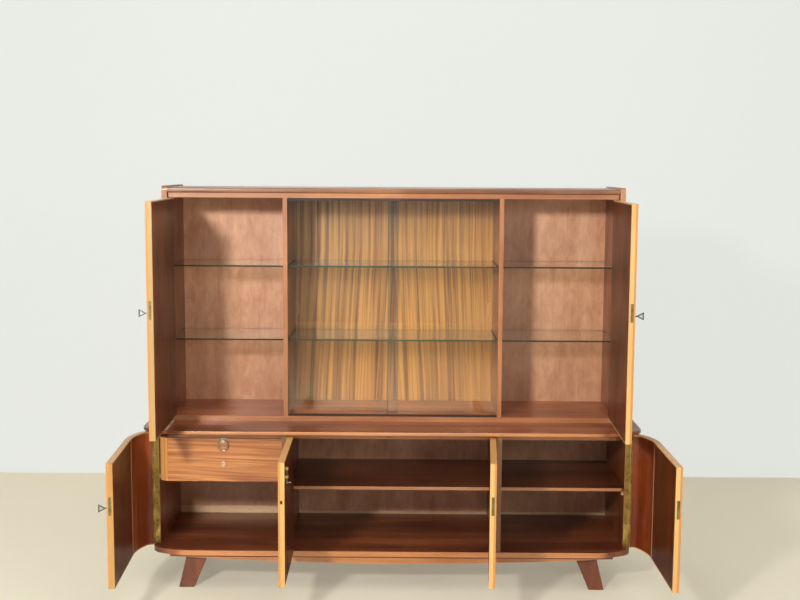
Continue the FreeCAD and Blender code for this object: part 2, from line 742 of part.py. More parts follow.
class Door:
    """One door, made shut on the right-hand side and then mirrored or swung open.

    free and jamb are the x of its free edge and of its hinge edge, face is the y of its front."""

    def __init__(self, name, side, opened, pivot, free, jamb, face, foot, head, leaves):
        self.name = name
        self.side = side
        self.opened = opened
        self.pivot = pivot
        self.free = free
        self.jamb = jamb
        self.face = face
        self.foot = foot
        self.head = head
        self.frame_leaf, self.leaf = leaves
        self.curved = jamb is None
        self.cuts = []

    def profile(self, start, end):
        """Plan of the door between its two faces, from one x to its hinge edge or another x."""
        if self.curved and end is None:
            return DOOR_CORNER.band(start, 0, DOOR_THICK)
        last = self.jamb if end is None else end
        back = self.face + DOOR_THICK
        return polygon_edges([(start, self.face), (last, self.face), (last, back), (start, back)])

    def panel(self):
        inner = self.free + EDGE_LIPPING
        board = raised(self.profile(inner, None), self.foot + RAIL_LIPPING, self.head - RAIL_LIPPING)
        return [self.cut(board)]

    def lipping(self):
        """Light strips on the free edge and along the head and the foot."""
        inner = self.free + EDGE_LIPPING
        strip = raised(self.profile(self.free, inner), self.foot, self.head)
        foot = raised(self.profile(inner, None), self.foot, self.foot + RAIL_LIPPING)
        head = raised(self.profile(inner, None), self.head - RAIL_LIPPING, self.head)
        return [self.cut(strip), foot, head]

    def cut(self, shape):
        for tool in self.cuts:
            shape = shape.cut(tool)
        return shape

    def hung(self, shapes):
        """The given shut pieces, mirrored if need be and swung open about the hinge."""
        hung = []
        for shape in shapes:
            if self.side < 0:
                shape = mirrored(shape)
            turned = shape.copy()
            turned.rotate(V(self.side * self.pivot[0], self.pivot[1], 0), V(0, 0, 1), self.side * self.opened)
            hung.append(turned)
        return hung


class Lock:
    """A mortise lock in a door's free edge, with a bolt that a turn of the key throws sideways."""

    def __init__(self, door, height):
        self.free = door.free
        self.face = door.face
        self.middle = door.face + DOOR_THICK / 2
        self.height = height
        self.key_x = door.free + BACKSET
        self.key_z = height - KEY_DROP
        self.bolt_z = height + BOLT_RISE
        self.plate = self.slab(0, FACEPLATE_THICK, FACEPLATE_WIDTH / 2, FACEPLATE_LENGTH / 2, height)
        self.case = self.slab(FACEPLATE_THICK, LOCK_DEEP, LOCK_THICK / 2, LOCK_LENGTH / 2, height)
        door.cuts += [self.plate, self.case, self.key_way(KEY_HOLE_RADIUS, self.face - 1, self.middle)]

    def slab(self, start, end, half_thick, half_tall, height):
        """A block measured inwards from the free edge, about the middle of the door's thickness."""
        return box(
            (self.free + start, self.middle - half_thick, height - half_tall),
            (self.free + end, self.middle + half_thick, height + half_tall),
        )

    def key_way(self, radius, start, end):
        return rod((self.key_x, start, self.key_z), (0, 1, 0), end - start, radius)

    def body(self):
        """Case and faceplate, hollow for the bolt and for the turn of the key's bit."""
        channel = self.slab(
            -1,
            FACEPLATE_THICK + BOLT_LENGTH,
            BOLT_THICK / 2 + BOLT_GAP,
            BOLT_HEIGHT / 2 + BOLT_GAP,
            self.bolt_z,
        )
        inside = BOLT_THICK / 2 + BOLT_GAP
        cavity = self.key_way(KEY_CAVITY_RADIUS, self.middle - inside, self.middle + inside)
        way = self.key_way(KEY_SHAFT_RADIUS + KEY_RUNNING_GAP, self.face, self.middle)
        shell = self.plate.fuse(self.case).removeSplitter()
        return shell.cut(channel).cut(cavity).cut(way)

    def bolt(self):
        return self.slab(BOLT_GAP, BOLT_LENGTH, BOLT_THICK / 2, BOLT_HEIGHT / 2, self.bolt_z)

    def key(self):
        """A shaft with a bit inside the lock, and an open three-sided bow outside the door."""
        tip = self.middle + KEY_BIT_WIDTH / 2
        collar = self.face - KEY_REACH
        shaft = self.key_way(KEY_SHAFT_RADIUS, collar, tip)
        bit = box(
            (self.key_x - KEY_BIT_THICK / 2, self.middle - KEY_BIT_WIDTH / 2, self.key_z - KEY_BIT_LENGTH),
            (self.key_x + KEY_BIT_THICK / 2, tip, self.key_z),
        )
        bow = self.bow_outline(0, collar).cut(self.bow_outline(KEY_BOW_BAR, collar))
        return shaft.fuse(bit).fuse(bow).removeSplitter()

    def bow_outline(self, inset, collar):
        """A flat triangle that widens away from the door, shrunk by the width of its bars."""
        end = collar - KEY_BOW_LENGTH
        length = KEY_BOW_LENGTH
        half = KEY_BOW_WIDTH / 2
        slope = math.hypot(length, half)
        tip = collar + KEY_BOW_BAR - inset * slope / half
        outer = end + inset
        wide = half * (tip - outer) / (length + KEY_BOW_BAR)
        points = [(tip, 0), (outer, wide), (outer, -wide)]
        corners = [V(self.key_x - KEY_BOW_THICK / 2, y, self.key_z + z) for y, z in points]
        return Part.Face(Part.makePolygon(corners + corners[:1])).extrude(V(KEY_BOW_THICK, 0, 0))


class BarrelBolt:
    """A bolt on the inner face of the middle left door, drawn here on its right-hand twin."""

    def __init__(self, door):
        self.x = door.free + BARREL_BOLT_INSET
        self.back = door.face + DOOR_THICK
        self.y = self.back + BOLT_ROD_STANDOFF
        self.top = LOWER_CEILING - BOLT_ROD_TOP_GAP
        self.plate_top = self.top + BOLT_PLATE_ABOVE_ROD

    def guide(self):
        """A plate with two bored guides."""
        half = BOLT_PLATE_WIDTH / 2
        foot = self.plate_top - BOLT_PLATE_LENGTH
        plate = box(
            (self.x - half, self.back, foot), (self.x + half, self.back + BOLT_PLATE_THICK, self.plate_top)
        )
        front = self.y + BOLT_ROD_RADIUS + BOLT_GUIDE_WALL
        half = BOLT_GUIDE_WIDTH / 2
        for drop in BOLT_GUIDE_DROPS:
            low = self.top - drop
            plate = plate.fuse(
                box((self.x - half, self.back, low), (self.x + half, front, low + BOLT_GUIDE_HEIGHT))
            )
        bore = BOLT_ROD_RADIUS + HINGE_RUNNING_GAP
        way = rod((self.x, self.y, foot), (0, 0, 1), BOLT_PLATE_LENGTH, bore)
        return plate.cut(way).removeSplitter()

    def rod(self):
        """The sliding rod with its knob below the guides."""
        foot = self.top - BOLT_ROD_LENGTH
        bar = rod((self.x, self.y, foot), (0, 0, 1), BOLT_ROD_LENGTH, BOLT_ROD_RADIUS)
        reach = BOLT_ROD_RADIUS + BOLT_KNOB_LENGTH
        knob = rod((self.x, self.y, foot + BOLT_KNOB_RISE), (0, 1, 0), reach, BOLT_KNOB_RADIUS)
        return bar.fuse(knob).removeSplitter()

    def eye(self):
        """The screw eye under the cabinet's top that the rod slides up into."""
        height = LOWER_CEILING - EYE_DROP
        ring = Part.makeTorus(EYE_RADIUS, EYE_WIRE, V(self.x, self.y, height))
        foot = height - EYE_SHANK_RADIUS
        length = LOWER_CEILING - foot
        shank = rod((self.x, self.y + EYE_RADIUS, foot), (0, 0, 1), length, EYE_SHANK_RADIUS)
        return ring.fuse(shank)


def drawer_front():
    """A front whose left end curves back to clear the end door."""
    low = (-LOWER_SIDE_INNER, DRAWER_FACE, DRAWER_FRONT_FOOT)
    right = -LOWER_DIVIDER_OUTER - DRAWER_END_GAP
    return inside_doors(box(low, (right, DRAWER_FACE + DRAWER_FRONT_THICK, DRAWER_FRONT_TOP)))


def drawer_box():
    """Two sides, a back and a bottom that slide together on the runners."""
    low = RUNNER_TOP + RUNNER_GAP
    high = low + DRAWER_SIDE_HEIGHT
    left = -LOWER_SIDE_INNER + DRAWER_LEFT_GAP
    right = -LOWER_DIVIDER_OUTER - DRAWER_WALL_GAP
    front = DRAWER_FACE + DRAWER_FRONT_THICK
    back = DRAWER_FACE + DRAWER_DEPTH
    thick = DRAWER_SIDE_THICK
    left_side = box((left, front, low), (left + thick, back, high))
    right_side = box((right - thick, front, low), (right, back, high))
    rear = box((left + thick, back - thick, low), (right - thick, back, high))
    floor_low = low + DRAWER_BOTTOM_RISE
    floor_high = floor_low + DRAWER_BOTTOM_THICK
    floor = box((left + thick, front, floor_low), (right - thick, back - thick, floor_high))
    return [left_side, right_side, rear, floor]


def drawer_runners():
    """Strips on the side and on the divider that carry the drawer."""
    low = RUNNER_TOP - RUNNER_HEIGHT
    front = LOWER_SIDE_FRONT
    back = DRAWER_FACE + DRAWER_DEPTH
    left_reach = -LOWER_SIDE_INNER + DRAWER_LEFT_GAP + DRAWER_SIDE_THICK
    right_reach = -LOWER_DIVIDER_OUTER - DRAWER_WALL_GAP - DRAWER_SIDE_THICK
    left = box((-LOWER_SIDE_INNER, front, low), (left_reach, back, RUNNER_TOP))
    right = box((right_reach, front, low), (-LOWER_DIVIDER_OUTER, back, RUNNER_TOP))
    return [left, right]


def drawer_fittings():
    """The bored boss of the ring pull, the keyhole plate below it and the lock behind the front."""
    pivot = PULL_HEIGHT + RING_RADIUS
    start = RING_AXIS - BOSS_BORE - BOSS_WALL
    boss = rod((PULL_X, start, pivot), (0, 1, 0), DRAWER_FACE - start, BOSS_RADIUS)
    bore = rod((PULL_X - BOSS_RADIUS, RING_AXIS, pivot), (1, 0, 0), 2 * BOSS_RADIUS, BOSS_BORE)
    half = ESCUTCHEON_WIDTH / 2
    arm = ESCUTCHEON_LENGTH / 2 - half
    front = DRAWER_FACE - ESCUTCHEON_THICK
    low, high = ESCUTCHEON_HEIGHT - arm, ESCUTCHEON_HEIGHT + arm
    plate = box((PULL_X - half, front, low), (PULL_X + half, DRAWER_FACE, high))
    for z in (low, high):
        plate = plate.fuse(rod((PULL_X, front, z), (0, 1, 0), ESCUTCHEON_THICK, half))
    hole_z = ESCUTCHEON_HEIGHT + KEYHOLE_RADIUS
    hole = rod((PULL_X, front, hole_z), (0, 1, 0), ESCUTCHEON_THICK, KEYHOLE_RADIUS)
    slot = box(
        (PULL_X - KEYHOLE_SLOT / 2, front, hole_z - KEYHOLE_DROP),
        (PULL_X + KEYHOLE_SLOT / 2, DRAWER_FACE, hole_z),
    )
    wide, deep, tall = DRAWER_LOCK_SIZE
    behind = DRAWER_FACE + DRAWER_FRONT_THICK
    lock = box(
        (PULL_X - wide / 2, behind, ESCUTCHEON_HEIGHT - tall / 2),
        (PULL_X + wide / 2, behind + deep, ESCUTCHEON_HEIGHT + tall / 2),
    )
    return [boss.cut(bore), plate.removeSplitter().cut(hole.fuse(slot)), lock]


def pull_ring():
    return Part.makeTorus(RING_RADIUS, RING_WIRE, V(PULL_X, RING_AXIS, PULL_HEIGHT), V(0, 1, 0))


def make_doors():
    """The six doors, each on its own hinge."""
    lower = (LOWER_DOOR_FOOT, LOWER_DOOR_HEAD)
    upper = (UPPER_DOOR_FOOT, UPPER_DOOR_HEAD)
    upper_free = HUTCH_DIVIDER_OUTER + FREE_GAP
    upper_jamb = HUTCH_SIDE_INNER - DOOR_GAP
    end_free = LOWER_DIVIDER_OUTER + FREE_GAP
    middle_free = CENTRE_GAP / 2
    middle_jamb = LOWER_DIVIDER_INNER - DOOR_GAP
    upper_leaves = inset_hinge(UPPER_PIVOT, HUTCH_SIDE_INNER, HUTCH_FRONT, *upper)
    end_leaves = end_hinge(*lower)
    middle_leaves = inset_hinge(MIDDLE_PIVOT, LOWER_DIVIDER_INNER, DOOR_FACE, *lower)
    upper_plan = (UPPER_PIVOT, upper_free, upper_jamb, HUTCH_FRONT, *upper, upper_leaves)
    end_plan = (END_PIVOT, end_free, None, DOOR_FACE, *lower, end_leaves)
    middle_plan = (MIDDLE_PIVOT, middle_free, middle_jamb, DOOR_FACE, *lower, middle_leaves)
    return {
        "upper_left_door": Door("upper_left_door", -1, UPPER_LEFT_ANGLE, *upper_plan),
        "upper_right_door": Door("upper_right_door", 1, UPPER_RIGHT_ANGLE, *upper_plan),
        "end_left_door": Door("end_left_door", -1, END_LEFT_ANGLE, *end_plan),
        "end_right_door": Door("end_right_door", 1, END_RIGHT_ANGLE, *end_plan),
        "middle_left_door": Door("middle_left_door", -1, MIDDLE_LEFT_ANGLE, *middle_plan),
        "middle_right_door": Door("middle_right_door", 1, MIDDLE_RIGHT_ANGLE, *middle_plan),
    }


KEYED_LOCKS = ("upper_left_door", "upper_right_door", "end_left_door")
PLAIN_LOCKS = ("end_right_door", "middle_right_door")


def door_nodes(doors):
    """Panels, lipping, hinge leaves, locks, bolts and keys, all at their open angles."""
    nodes = {}
    for name in KEYED_LOCKS + PLAIN_LOCKS:
        door = doors[name]
        lock = Lock(door, UPPER_LOCK_HEIGHT if name.startswith("upper") else LOWER_LOCK_HEIGHT)
        stem = name.replace("_door", "")
        body = [lock.body()]
        if name in KEYED_LOCKS:
            nodes[stem + "_bolt"] = door.hung([lock.bolt()])
            nodes[stem + "_key"] = door.hung([lock.key()])
        else:
            body.append(lock.bolt())
        nodes[stem + "_lock"] = door.hung(body)
    left = doors["middle_left_door"]
    left.cuts.append(strike_slot(left.free + EDGE_LIPPING, DOOR_FACE, LOWER_LOCK_HEIGHT))
    for name, door in doors.items():
        nodes[name + "_panel"] = door.hung(door.panel())
        nodes[name + "_lipping"] = door.hung(door.lipping())
        nodes[name + "_hinge_leaf"] = door.hung([door.leaf])
    barrel = BarrelBolt(left)
    nodes["barrel_bolt_guide"] = left.hung([barrel.guide()])
    nodes["barrel_bolt_rod"] = left.hung([barrel.rod()])
    nodes["barrel_bolt_eye"] = [mirrored(barrel.eye())]
    return nodes


def hinge_nodes(doors):
    leaves = []
    pins = []
    for door in doors.values():
        pin = hinge_pin(door.pivot, door.foot, door.head)
        for shape, group in ((door.frame_leaf, leaves), (pin, pins)):
            group.append(shape if door.side > 0 else mirrored(shape))
    return {"hinge_frame_leaves": leaves, "hinge_pins": pins}


def case_nodes():
    seam = back_seam()
    return {
        "lower_top": [lower_top()],
        "lower_bottom": [lower_bottom()],
        "lower_sides": lower_sides(),
        "lower_dividers": lower_dividers(),
        "lower_back": [lower_back()],
        "lower_front_rails": lower_front_rails(),
        "lower_shelves": lower_shelves(),
        "shelf_pins": shelf_pins(),
        "base_rails": base_rails(),
        "legs": legs(),
        "hutch_sides": hutch_sides(),
        "hutch_dividers": hutch_dividers(),
        "hutch_bottom": [hutch_bottom()],
        "hutch_top": [hutch_top()],
        "hutch_rail": [hutch_rail()],
        "hutch_side_backs": pair(hutch_back(seam, HUTCH_SIDE_INNER)),
        "hutch_middle_back": [hutch_back(-seam, seam)],
        "glass_shelves": glass_shelves(),
        "glass_tracks": glass_tracks(),
        "glass_pane_left": [glass_pane(-1)],
        "glass_pane_right": [glass_pane(1)],
    }


def drawer_nodes():
    return {
        "drawer_front": [drawer_front()],
        "drawer_box": drawer_box(),
        "drawer_runners": drawer_runners(),
        "drawer_fittings": drawer_fittings(),
        "drawer_pull_ring": [pull_ring()],
    }


def build():
    doors = make_doors()
    nodes = case_nodes()
    nodes.update(drawer_nodes())
    nodes.update(door_nodes(doors))
    nodes.update(hinge_nodes(doors))
    os.makedirs("parts", exist_ok=True)
    for name, shapes in nodes.items():
        solids = [solid for shape in shapes for solid in shape.Solids]
        whole = solids[0] if len(solids) == 1 else Part.makeCompound(solids)
        whole.translate(V(0, -ORIGIN_Y, 0))
        whole.exportStep("parts/" + name + ".step")
        valid = all(solid.isValid() for solid in solids)
        print(name, len(solids), "solids", "valid" if valid else "NOT VALID")
    print("origin behind the lower top's front edge:", ORIGIN_Y)


build()
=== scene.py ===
"""Highboard: finishes, small fittings and the studio stage around the carried parts."""

import json
import math

import bmesh
import bpy
from bpy.props import FloatProperty, FloatVectorProperty, PointerProperty
from mathutils import Matrix, Vector


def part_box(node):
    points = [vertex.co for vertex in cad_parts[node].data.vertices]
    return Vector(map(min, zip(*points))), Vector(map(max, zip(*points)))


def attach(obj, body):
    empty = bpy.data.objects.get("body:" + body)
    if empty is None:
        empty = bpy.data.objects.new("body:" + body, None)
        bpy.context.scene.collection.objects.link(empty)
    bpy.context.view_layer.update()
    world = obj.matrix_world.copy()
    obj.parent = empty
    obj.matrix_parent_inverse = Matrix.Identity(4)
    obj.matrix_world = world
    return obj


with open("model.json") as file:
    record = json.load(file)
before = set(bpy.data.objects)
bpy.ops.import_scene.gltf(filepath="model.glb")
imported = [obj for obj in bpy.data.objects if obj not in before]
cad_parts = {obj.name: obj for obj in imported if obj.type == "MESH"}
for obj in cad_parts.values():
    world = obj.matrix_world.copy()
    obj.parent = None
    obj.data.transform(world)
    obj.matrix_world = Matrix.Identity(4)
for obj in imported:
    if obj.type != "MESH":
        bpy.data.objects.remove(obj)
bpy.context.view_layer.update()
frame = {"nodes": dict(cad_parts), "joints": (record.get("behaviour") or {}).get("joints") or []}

bl_info = {
    "name": "Highboard",
    "version": (1, 0, 0),
    "blender": (4, 5, 0),
    "location": "View3D > Sidebar > Highboard",
    "description": "Finishes and small fittings of a highboard with curved end doors",
    "category": "Object",
}

DOORS = (
    "upper_left_door",
    "upper_right_door",
    "end_left_door",
    "end_right_door",
    "middle_left_door",
    "middle_right_door",
)
LOCKED_DOORS = DOORS[:4] + DOORS[5:]
KEYED_DOORS = DOORS[:3]


def paint(red, green, blue):
    """A colour written in screen values, as the linear values that shaders take."""
    linear = []
    for value in (red, green, blue):
        part = value / 255
        linear.append(part / 12.92 if part <= 0.04045 else ((part + 0.055) / 1.055) ** 2.4)
    return tuple(linear)


def colour(label, description, *rgb):
    return FloatVectorProperty(
        name=label, description=description, subtype="COLOR", size=3, min=0, max=1,
        default=paint(*rgb),
    )


def tones(stem, what, pale, dark):
    """Two properties: the lighter and the darker tone of one wood or metal."""
    label = stem.capitalize()
    return {
        f"{stem}_pale": colour(f"{label} pale", f"Lighter tone of {what}", *pale),
        f"{stem}_dark": colour(f"{label} dark", f"Darker tone of {what}", *dark),
    }


def number(label, description, default, **kind):
    return FloatProperty(name=label, description=description, default=default, **kind)


def length(label, description, default):
    kind = {"subtype": "DISTANCE", "unit": "LENGTH", "min": 0, "precision": 4}
    return number(label, description, default, **kind)


class HighboardFinish(bpy.types.PropertyGroup):
    """Colours and sheen of the woods, metals and glass."""

    __annotations__ = {
        **tones("case", "the case boards", (148, 80, 44), (94, 42, 22)),
        **tones("edge", "the lower front edges", (214, 146, 90), (180, 108, 60)),
        **tones("jamb", "the upright front edges", (192, 132, 86), (160, 98, 58)),
        **tones("nose", "the top's rounded front", (156, 102, 60), (112, 66, 36)),
        **tones("door", "the doors", (104, 46, 20), (62, 24, 9)),
        **tones("face", "the doors' outer veneer", (164, 96, 54), (116, 58, 30)),
        **tones("curve", "the bent door ends", (158, 78, 38), (108, 44, 18)),
        **tones("leg", "the legs", (142, 74, 42), (102, 48, 26)),
        **tones("back", "the plain back panels", (250, 194, 154), (212, 148, 108)),
        **tones("stripe", "the striped back", (196, 132, 60), (104, 52, 20)),
        **tones("drawer", "the drawer front", (222, 148, 82), (158, 88, 44)),
        **tones("lipping", "the door lipping", (234, 186, 118), (220, 164, 92)),
        **tones("inside", "the drawer box", (226, 190, 142), (196, 150, 102)),
        **tones("strip", "the cover strips", (246, 216, 172), (232, 186, 138)),
        **tones("track", "the glass tracks", (62, 36, 22), (38, 22, 14)),
        **tones("brass", "the brass fittings", (202, 170, 98), (150, 122, 62)),
        **tones("lock", "the brass of the locks", (158, 144, 92), (112, 102, 64)),
        **tones("steel", "the steel fittings", (132, 129, 122), (78, 73, 66)),
        **tones("nickel", "the nickel plate", (214, 208, 196), (158, 144, 120)),
        **tones("screw", "the darkened screws", (96, 80, 50), (52, 42, 28)),
    }
    veneer_line: colour("Veneer line", "Line of outer veneer on the lipping", 204, 140, 70)
    glass: colour("Glass", "Clear glass", 244, 250, 247)
    glass_edge: colour("Glass edge", "Ground glass edge", 48, 62, 46)
    lacquer: number("Lacquer", "Weight of the clear coat", 0.35, subtype="FACTOR", min=0, max=1)


class HighboardFittings(bpy.types.PropertyGroup):
    """Sizes of the small fittings."""

    screw_radius: length("Screw radius", "Head radius of the hinge screws", 0.0026)
    screw_pitch: length("Screw pitch", "Distance between hinge screws", 0.068)
    screw_end: length("Screw end", "Distance of the end screws from a hinge's end", 0.022)
    screw_height: length("Screw height", "Height of a screw head above its plate", 0.0001)
    plate_screw: length("Plate screw", "Head radius of the lock plate screws", 0.0024)
    plate_step: length("Plate step", "Distance of those screws from a plate's middle", 0.0255)
    guide_screw: length("Guide screw", "Head radius of the barrel bolt's screws", 0.0017)
    back_screw: length("Back screw", "Head radius of the back panels' screws", 0.003)
    back_pitch: length("Back pitch", "Distance between the back panels' screws", 0.19)
    back_inset: length("Back inset", "Distance of those screws from a panel's edge", 0.009)
    seam_width: length("Seam width", "Width of the strip over a curved door's joint", 0.009)
    seam_height: length("Seam height", "Thickness of that strip", 0.0008)
    seam_place: length("Seam place", "Distance of the strip from the cabinet's middle", 0.730)
    bow_bar: length("Bow bar", "Width of the bars of a key's bow", 0.004)
    collar_height: length("Collar height", "Half height of a keyhole plate", 0.0115)
    collar_width: length("Collar width", "Half width of a keyhole plate", 0.0065)
    collar_thick: length("Collar thick", "Thickness of a keyhole plate", 0.0003)
    rest_height: length("Rest height", "Height of the block under a shelf", 0.024)
    rest_depth: length("Rest depth", "Half depth of that block", 0.0055)


class HighboardStage(bpy.types.PropertyGroup):
    """Camera, lamps and backdrop."""

    camera_height: length("Camera height", "Height of the camera", 1.538)
    camera_distance: length("Camera distance", "Distance of the camera in front", 4.131)
    camera_side: length("Camera side", "Distance of the camera to the right", 0.047)
    pitch: number("Pitch", "Downward tilt", 0.1149, subtype="ANGLE")
    yaw: number("Yaw", "Turn to the right", -0.0050, subtype="ANGLE")
    roll: number("Roll", "Roll of the camera", -0.0056, subtype="ANGLE")
    lens: number("Lens", "Focal length in millimetres", 52.785)
    wall_distance: length("Wall distance", "Distance of the wall behind the cabinet", 1.58)
    floor: colour("Floor", "Pale floor", 240, 231, 206)
    wall: colour("Wall", "White wall", 233, 236, 231)
    key_power: number("Key", "Power of the main lamp", 115)
    fill_power: number("Fill", "Power of the second lamp", 36)
    top_power: number("Top", "Power of the overhead lamp", 50)
    sky: number("Sky", "Strength of the even light", 0.32)


class Value:
    """An output in a node tree, which takes part in sums as a number does."""

    def __init__(self, graph, socket):
        self.graph = graph
        self.socket = socket

    def __add__(self, other):
        return self.graph.math("ADD", self, other)

    def __sub__(self, other):
        return self.graph.math("SUBTRACT", self, other)

    def __mul__(self, other):
        return self.graph.math("MULTIPLY", self, other)

    def __abs__(self):
        return self.graph.math("ABSOLUTE", self)

    def __gt__(self, other):
        return self.graph.math("GREATER_THAN", self, other)

    def __lt__(self, other):
        return self.graph.math("LESS_THAN", self, other)

    def __or__(self, other):
        return self.graph.math("MAXIMUM", self, other)


class Graph:
    """Nodes and links of one node tree."""

    def __init__(self, tree):
        self.tree = tree

    def feed(self, socket, value):
        if isinstance(value, Value):
            self.tree.links.new(value.socket, socket)
        else:
            socket.default_value = value

    def node(self, kind, inputs=None, **settings):
        made = self.tree.nodes.new("ShaderNode" + kind)
        for name, value in settings.items():
            setattr(made, name, value)
        for name, value in (inputs or {}).items():
            self.feed(made.inputs[name], value)
        return made

    def value(self, kind, inputs=None, output=0, **settings):
        return Value(self, self.node(kind, inputs, **settings).outputs[output])

    def math(self, operation, first, second=0.0, clamp=False):
        inputs = {0: first, 1: second}
        return self.value("Math", inputs, operation=operation, use_clamp=clamp)

    def noise(self, vector, scale, detail=2.0, roughness=0.5, distortion=0.0, stretch=None):
        """Noise in a vector, which a stretch first multiplies axis by axis."""
        if stretch:
            vector = self.value("VectorMath", {0: vector, 1: stretch}, operation="MULTIPLY")
        inputs = {"Vector": vector, "Scale": scale, "Detail": detail}
        return self.value("TexNoise", {**inputs, "Roughness": roughness, "Distortion": distortion})

    def blend(self, factor, first, second, mode="MIX"):
        inputs = {0: factor, 6: first, 7: second}
        return self.value("Mix", inputs, 2, data_type="RGBA", blend_type=mode)

    def mixed(self, factor, first, second):
        return self.value("MixShader", {0: factor, 1: first, 2: second})

    def remap(self, value, low, high, to_low=0.0, to_high=1.0):
        inputs = {0: value, 1: low, 2: high, 3: to_low, 4: to_high}
        return self.value("MapRange", inputs, interpolation_type="SMOOTHSTEP")

    def parts(self, vector):
        return [Value(self, part) for part in self.node("SeparateXYZ", {0: vector}).outputs]

    def joined(self, *parts):
        return self.value("CombineXYZ", dict(enumerate(parts)))


def solid(rgb):
    return (*rgb, 1.0)


PLACE = (("Vector", "Vector", None),)
TWO_TONES = (*PLACE, ("Pale", "Color", None), ("Dark", "Color", None))


class Group(Graph):
    """A new node group with its inputs."""

    def __init__(self, name, inputs):
        super().__init__(bpy.data.node_groups.new(name, "ShaderNodeTree"))
        for label, kind, default in inputs:
            made = self.socket(label, "INPUT", kind)
            if default is not None:
                made.default_value = default
        entry = self.tree.nodes.new("NodeGroupInput")
        self.given = {socket.name: Value(self, socket) for socket in entry.outputs}

    def socket(self, label, way, kind):
        return self.tree.interface.new_socket(label, in_out=way, socket_type="NodeSocket" + kind)

    def leave(self, **values):
        """Adds the outputs with what feeds them and gives the tree."""
        for name in values:
            self.socket(name, "OUTPUT", "Color" if name == "Color" else "Float")
        result = self.tree.nodes.new("NodeGroupOutput")
        for name, value in values.items():
            self.feed(result.inputs[name], value)
        return self.tree


def timber_group():
    """Grain along the third axis: drifting bands, fibres, clouds, flecks and pores."""
    inputs = (
        *TWO_TONES,
        ("Bands", "Float", 14.0),
        ("Contrast", "Float", 1.0),
        ("Fibre", "Float", 0.5),
        ("Pores", "Float", 0.5),
        ("Mottle", "Float", 0.2),
    )
    graph = Group("Timber figure", inputs)
    given = graph.given
    grain = given["Vector"]
    band = graph.noise(grain, given["Bands"], 5, 0.55, 0.9, stretch=(1, 1, 0.10))
    fibre = graph.noise(grain, 230, 3, 0.6, stretch=(1, 1, 0.018))
    fleck = graph.noise(grain, 34, 4, 0.65, 0.5, stretch=(1, 1, 0.45))
    pore = graph.remap(graph.noise(grain, 620, 1, stretch=(1, 1, 0.06)), 0.60, 0.70)
    cloud = graph.noise(grain, 3.1)
    bands = (band - 0.5) * given["Contrast"] * 3.0
    lines = (fibre - 0.5) * given["Fibre"] * 1.6
    mottle = (cloud - 0.5) * 0.9 + (fleck - 0.5) * given["Mottle"]
    tone = graph.math("ADD", bands + lines + mottle, 0.5, clamp=True)
    shade = graph.blend(tone, given["Pale"], given["Dark"])
    darker = graph.blend(1.0, shade, (0.52, 0.46, 0.42, 1), "MULTIPLY")
    return graph.leave(
        Color=graph.blend(pore * given["Pores"], shade, darker),
        Height=fibre - pore * 0.7,
        Dullness=cloud * 0.6 + fibre * 0.4,
    )


def marks_group():
    """Faint hairline scratches and rubbed patches from use, as one mask."""
    graph = Group("Marks of use", PLACE)
    place = graph.given["Vector"]
    patch = graph.remap(graph.noise(place, 6.5, 4, 0.6), 0.52, 0.72)
    across = graph.noise(place, 9, 2, 0.5, 0.3, stretch=(6, 90, 9))
    along = graph.noise(place, 11, 2, 0.5, 0.3, stretch=(80, 8, 5))
    hair = graph.remap(across, 0.66, 0.74) | graph.remap(along, 0.67, 0.75)
    return graph.leave(Mask=patch * 0.45 | hair * patch)


def stripe_group():
    """Two leaves of striped veneer whose stripes waver and lean outward toward the foot, with a
    band of painted shade down the middle.
    """
    straight_above, lean, waver = 1.2, 0.05, 0.010
    graph = Group("Striped veneer", TWO_TONES)
    given = graph.given
    place = given["Vector"]
    x, _, z = graph.parts(place)
    sway = graph.noise(place, 4.0, stretch=(1, 1, 0.5))
    below = graph.math("MINIMUM", z - straight_above, 0.0)
    strip = graph.joined(abs(x) + sway * waver + below * lean, x > 0.0, z * 0.012)
    narrow = graph.noise(strip, 170, 3, 0.6)
    broad = graph.remap(graph.noise(strip, 62), 0.38, 0.66)
    fine = graph.remap(narrow, 0.40, 0.66)
    # Painted shade: the stripes darken in a band down the middle, where the two sliding panes
    # overlap in front.
    joint = graph.remap(abs(x), 0.008, 0.030, 0.45, 0.0)
    tone = graph.math("ADD", broad * 0.58 + fine * 0.46, joint, clamp=True)
    shade = graph.blend(tone, given["Pale"], given["Dark"])
    zone = graph.remap(graph.noise(strip, 21), 0.46, 0.66, 0.0, 0.55)
    redder = graph.blend(1.0, shade, (0.86, 0.72, 0.64, 1), "MULTIPLY")
    shade = graph.blend(zone, shade, redder)
    return graph.leave(Color=shade, Height=narrow, Dullness=graph.noise(place, 5))


def patina_group():
    """Metal that is bright where it is touched and dull in between."""
    graph = Group("Metal patina", TWO_TONES)
    given = graph.given
    blotch = graph.noise(given["Vector"], 24, 4, 0.55, 0.4)
    speck = graph.noise(given["Vector"], 420, 2, 0.6)
    age = graph.remap(blotch + speck * 0.25, 0.42, 0.84)
    shade = graph.blend(age, given["Pale"], given["Dark"])
    return graph.leave(Color=shade, Height=speck, Dullness=age)


def smudge_group():
    """Thin smears left by wiping glass."""
    graph = Group("Glass smears", PLACE)
    smear = graph.noise(graph.given["Vector"], 4.5, 4, 0.6, 1.2, stretch=(3, 3, 1))
    return graph.leave(Mask=graph.remap(smear, 0.50, 0.80))


# A face looks along an axis where its normal's share of that axis is above this.
LOOKS_ALONG = 0.6


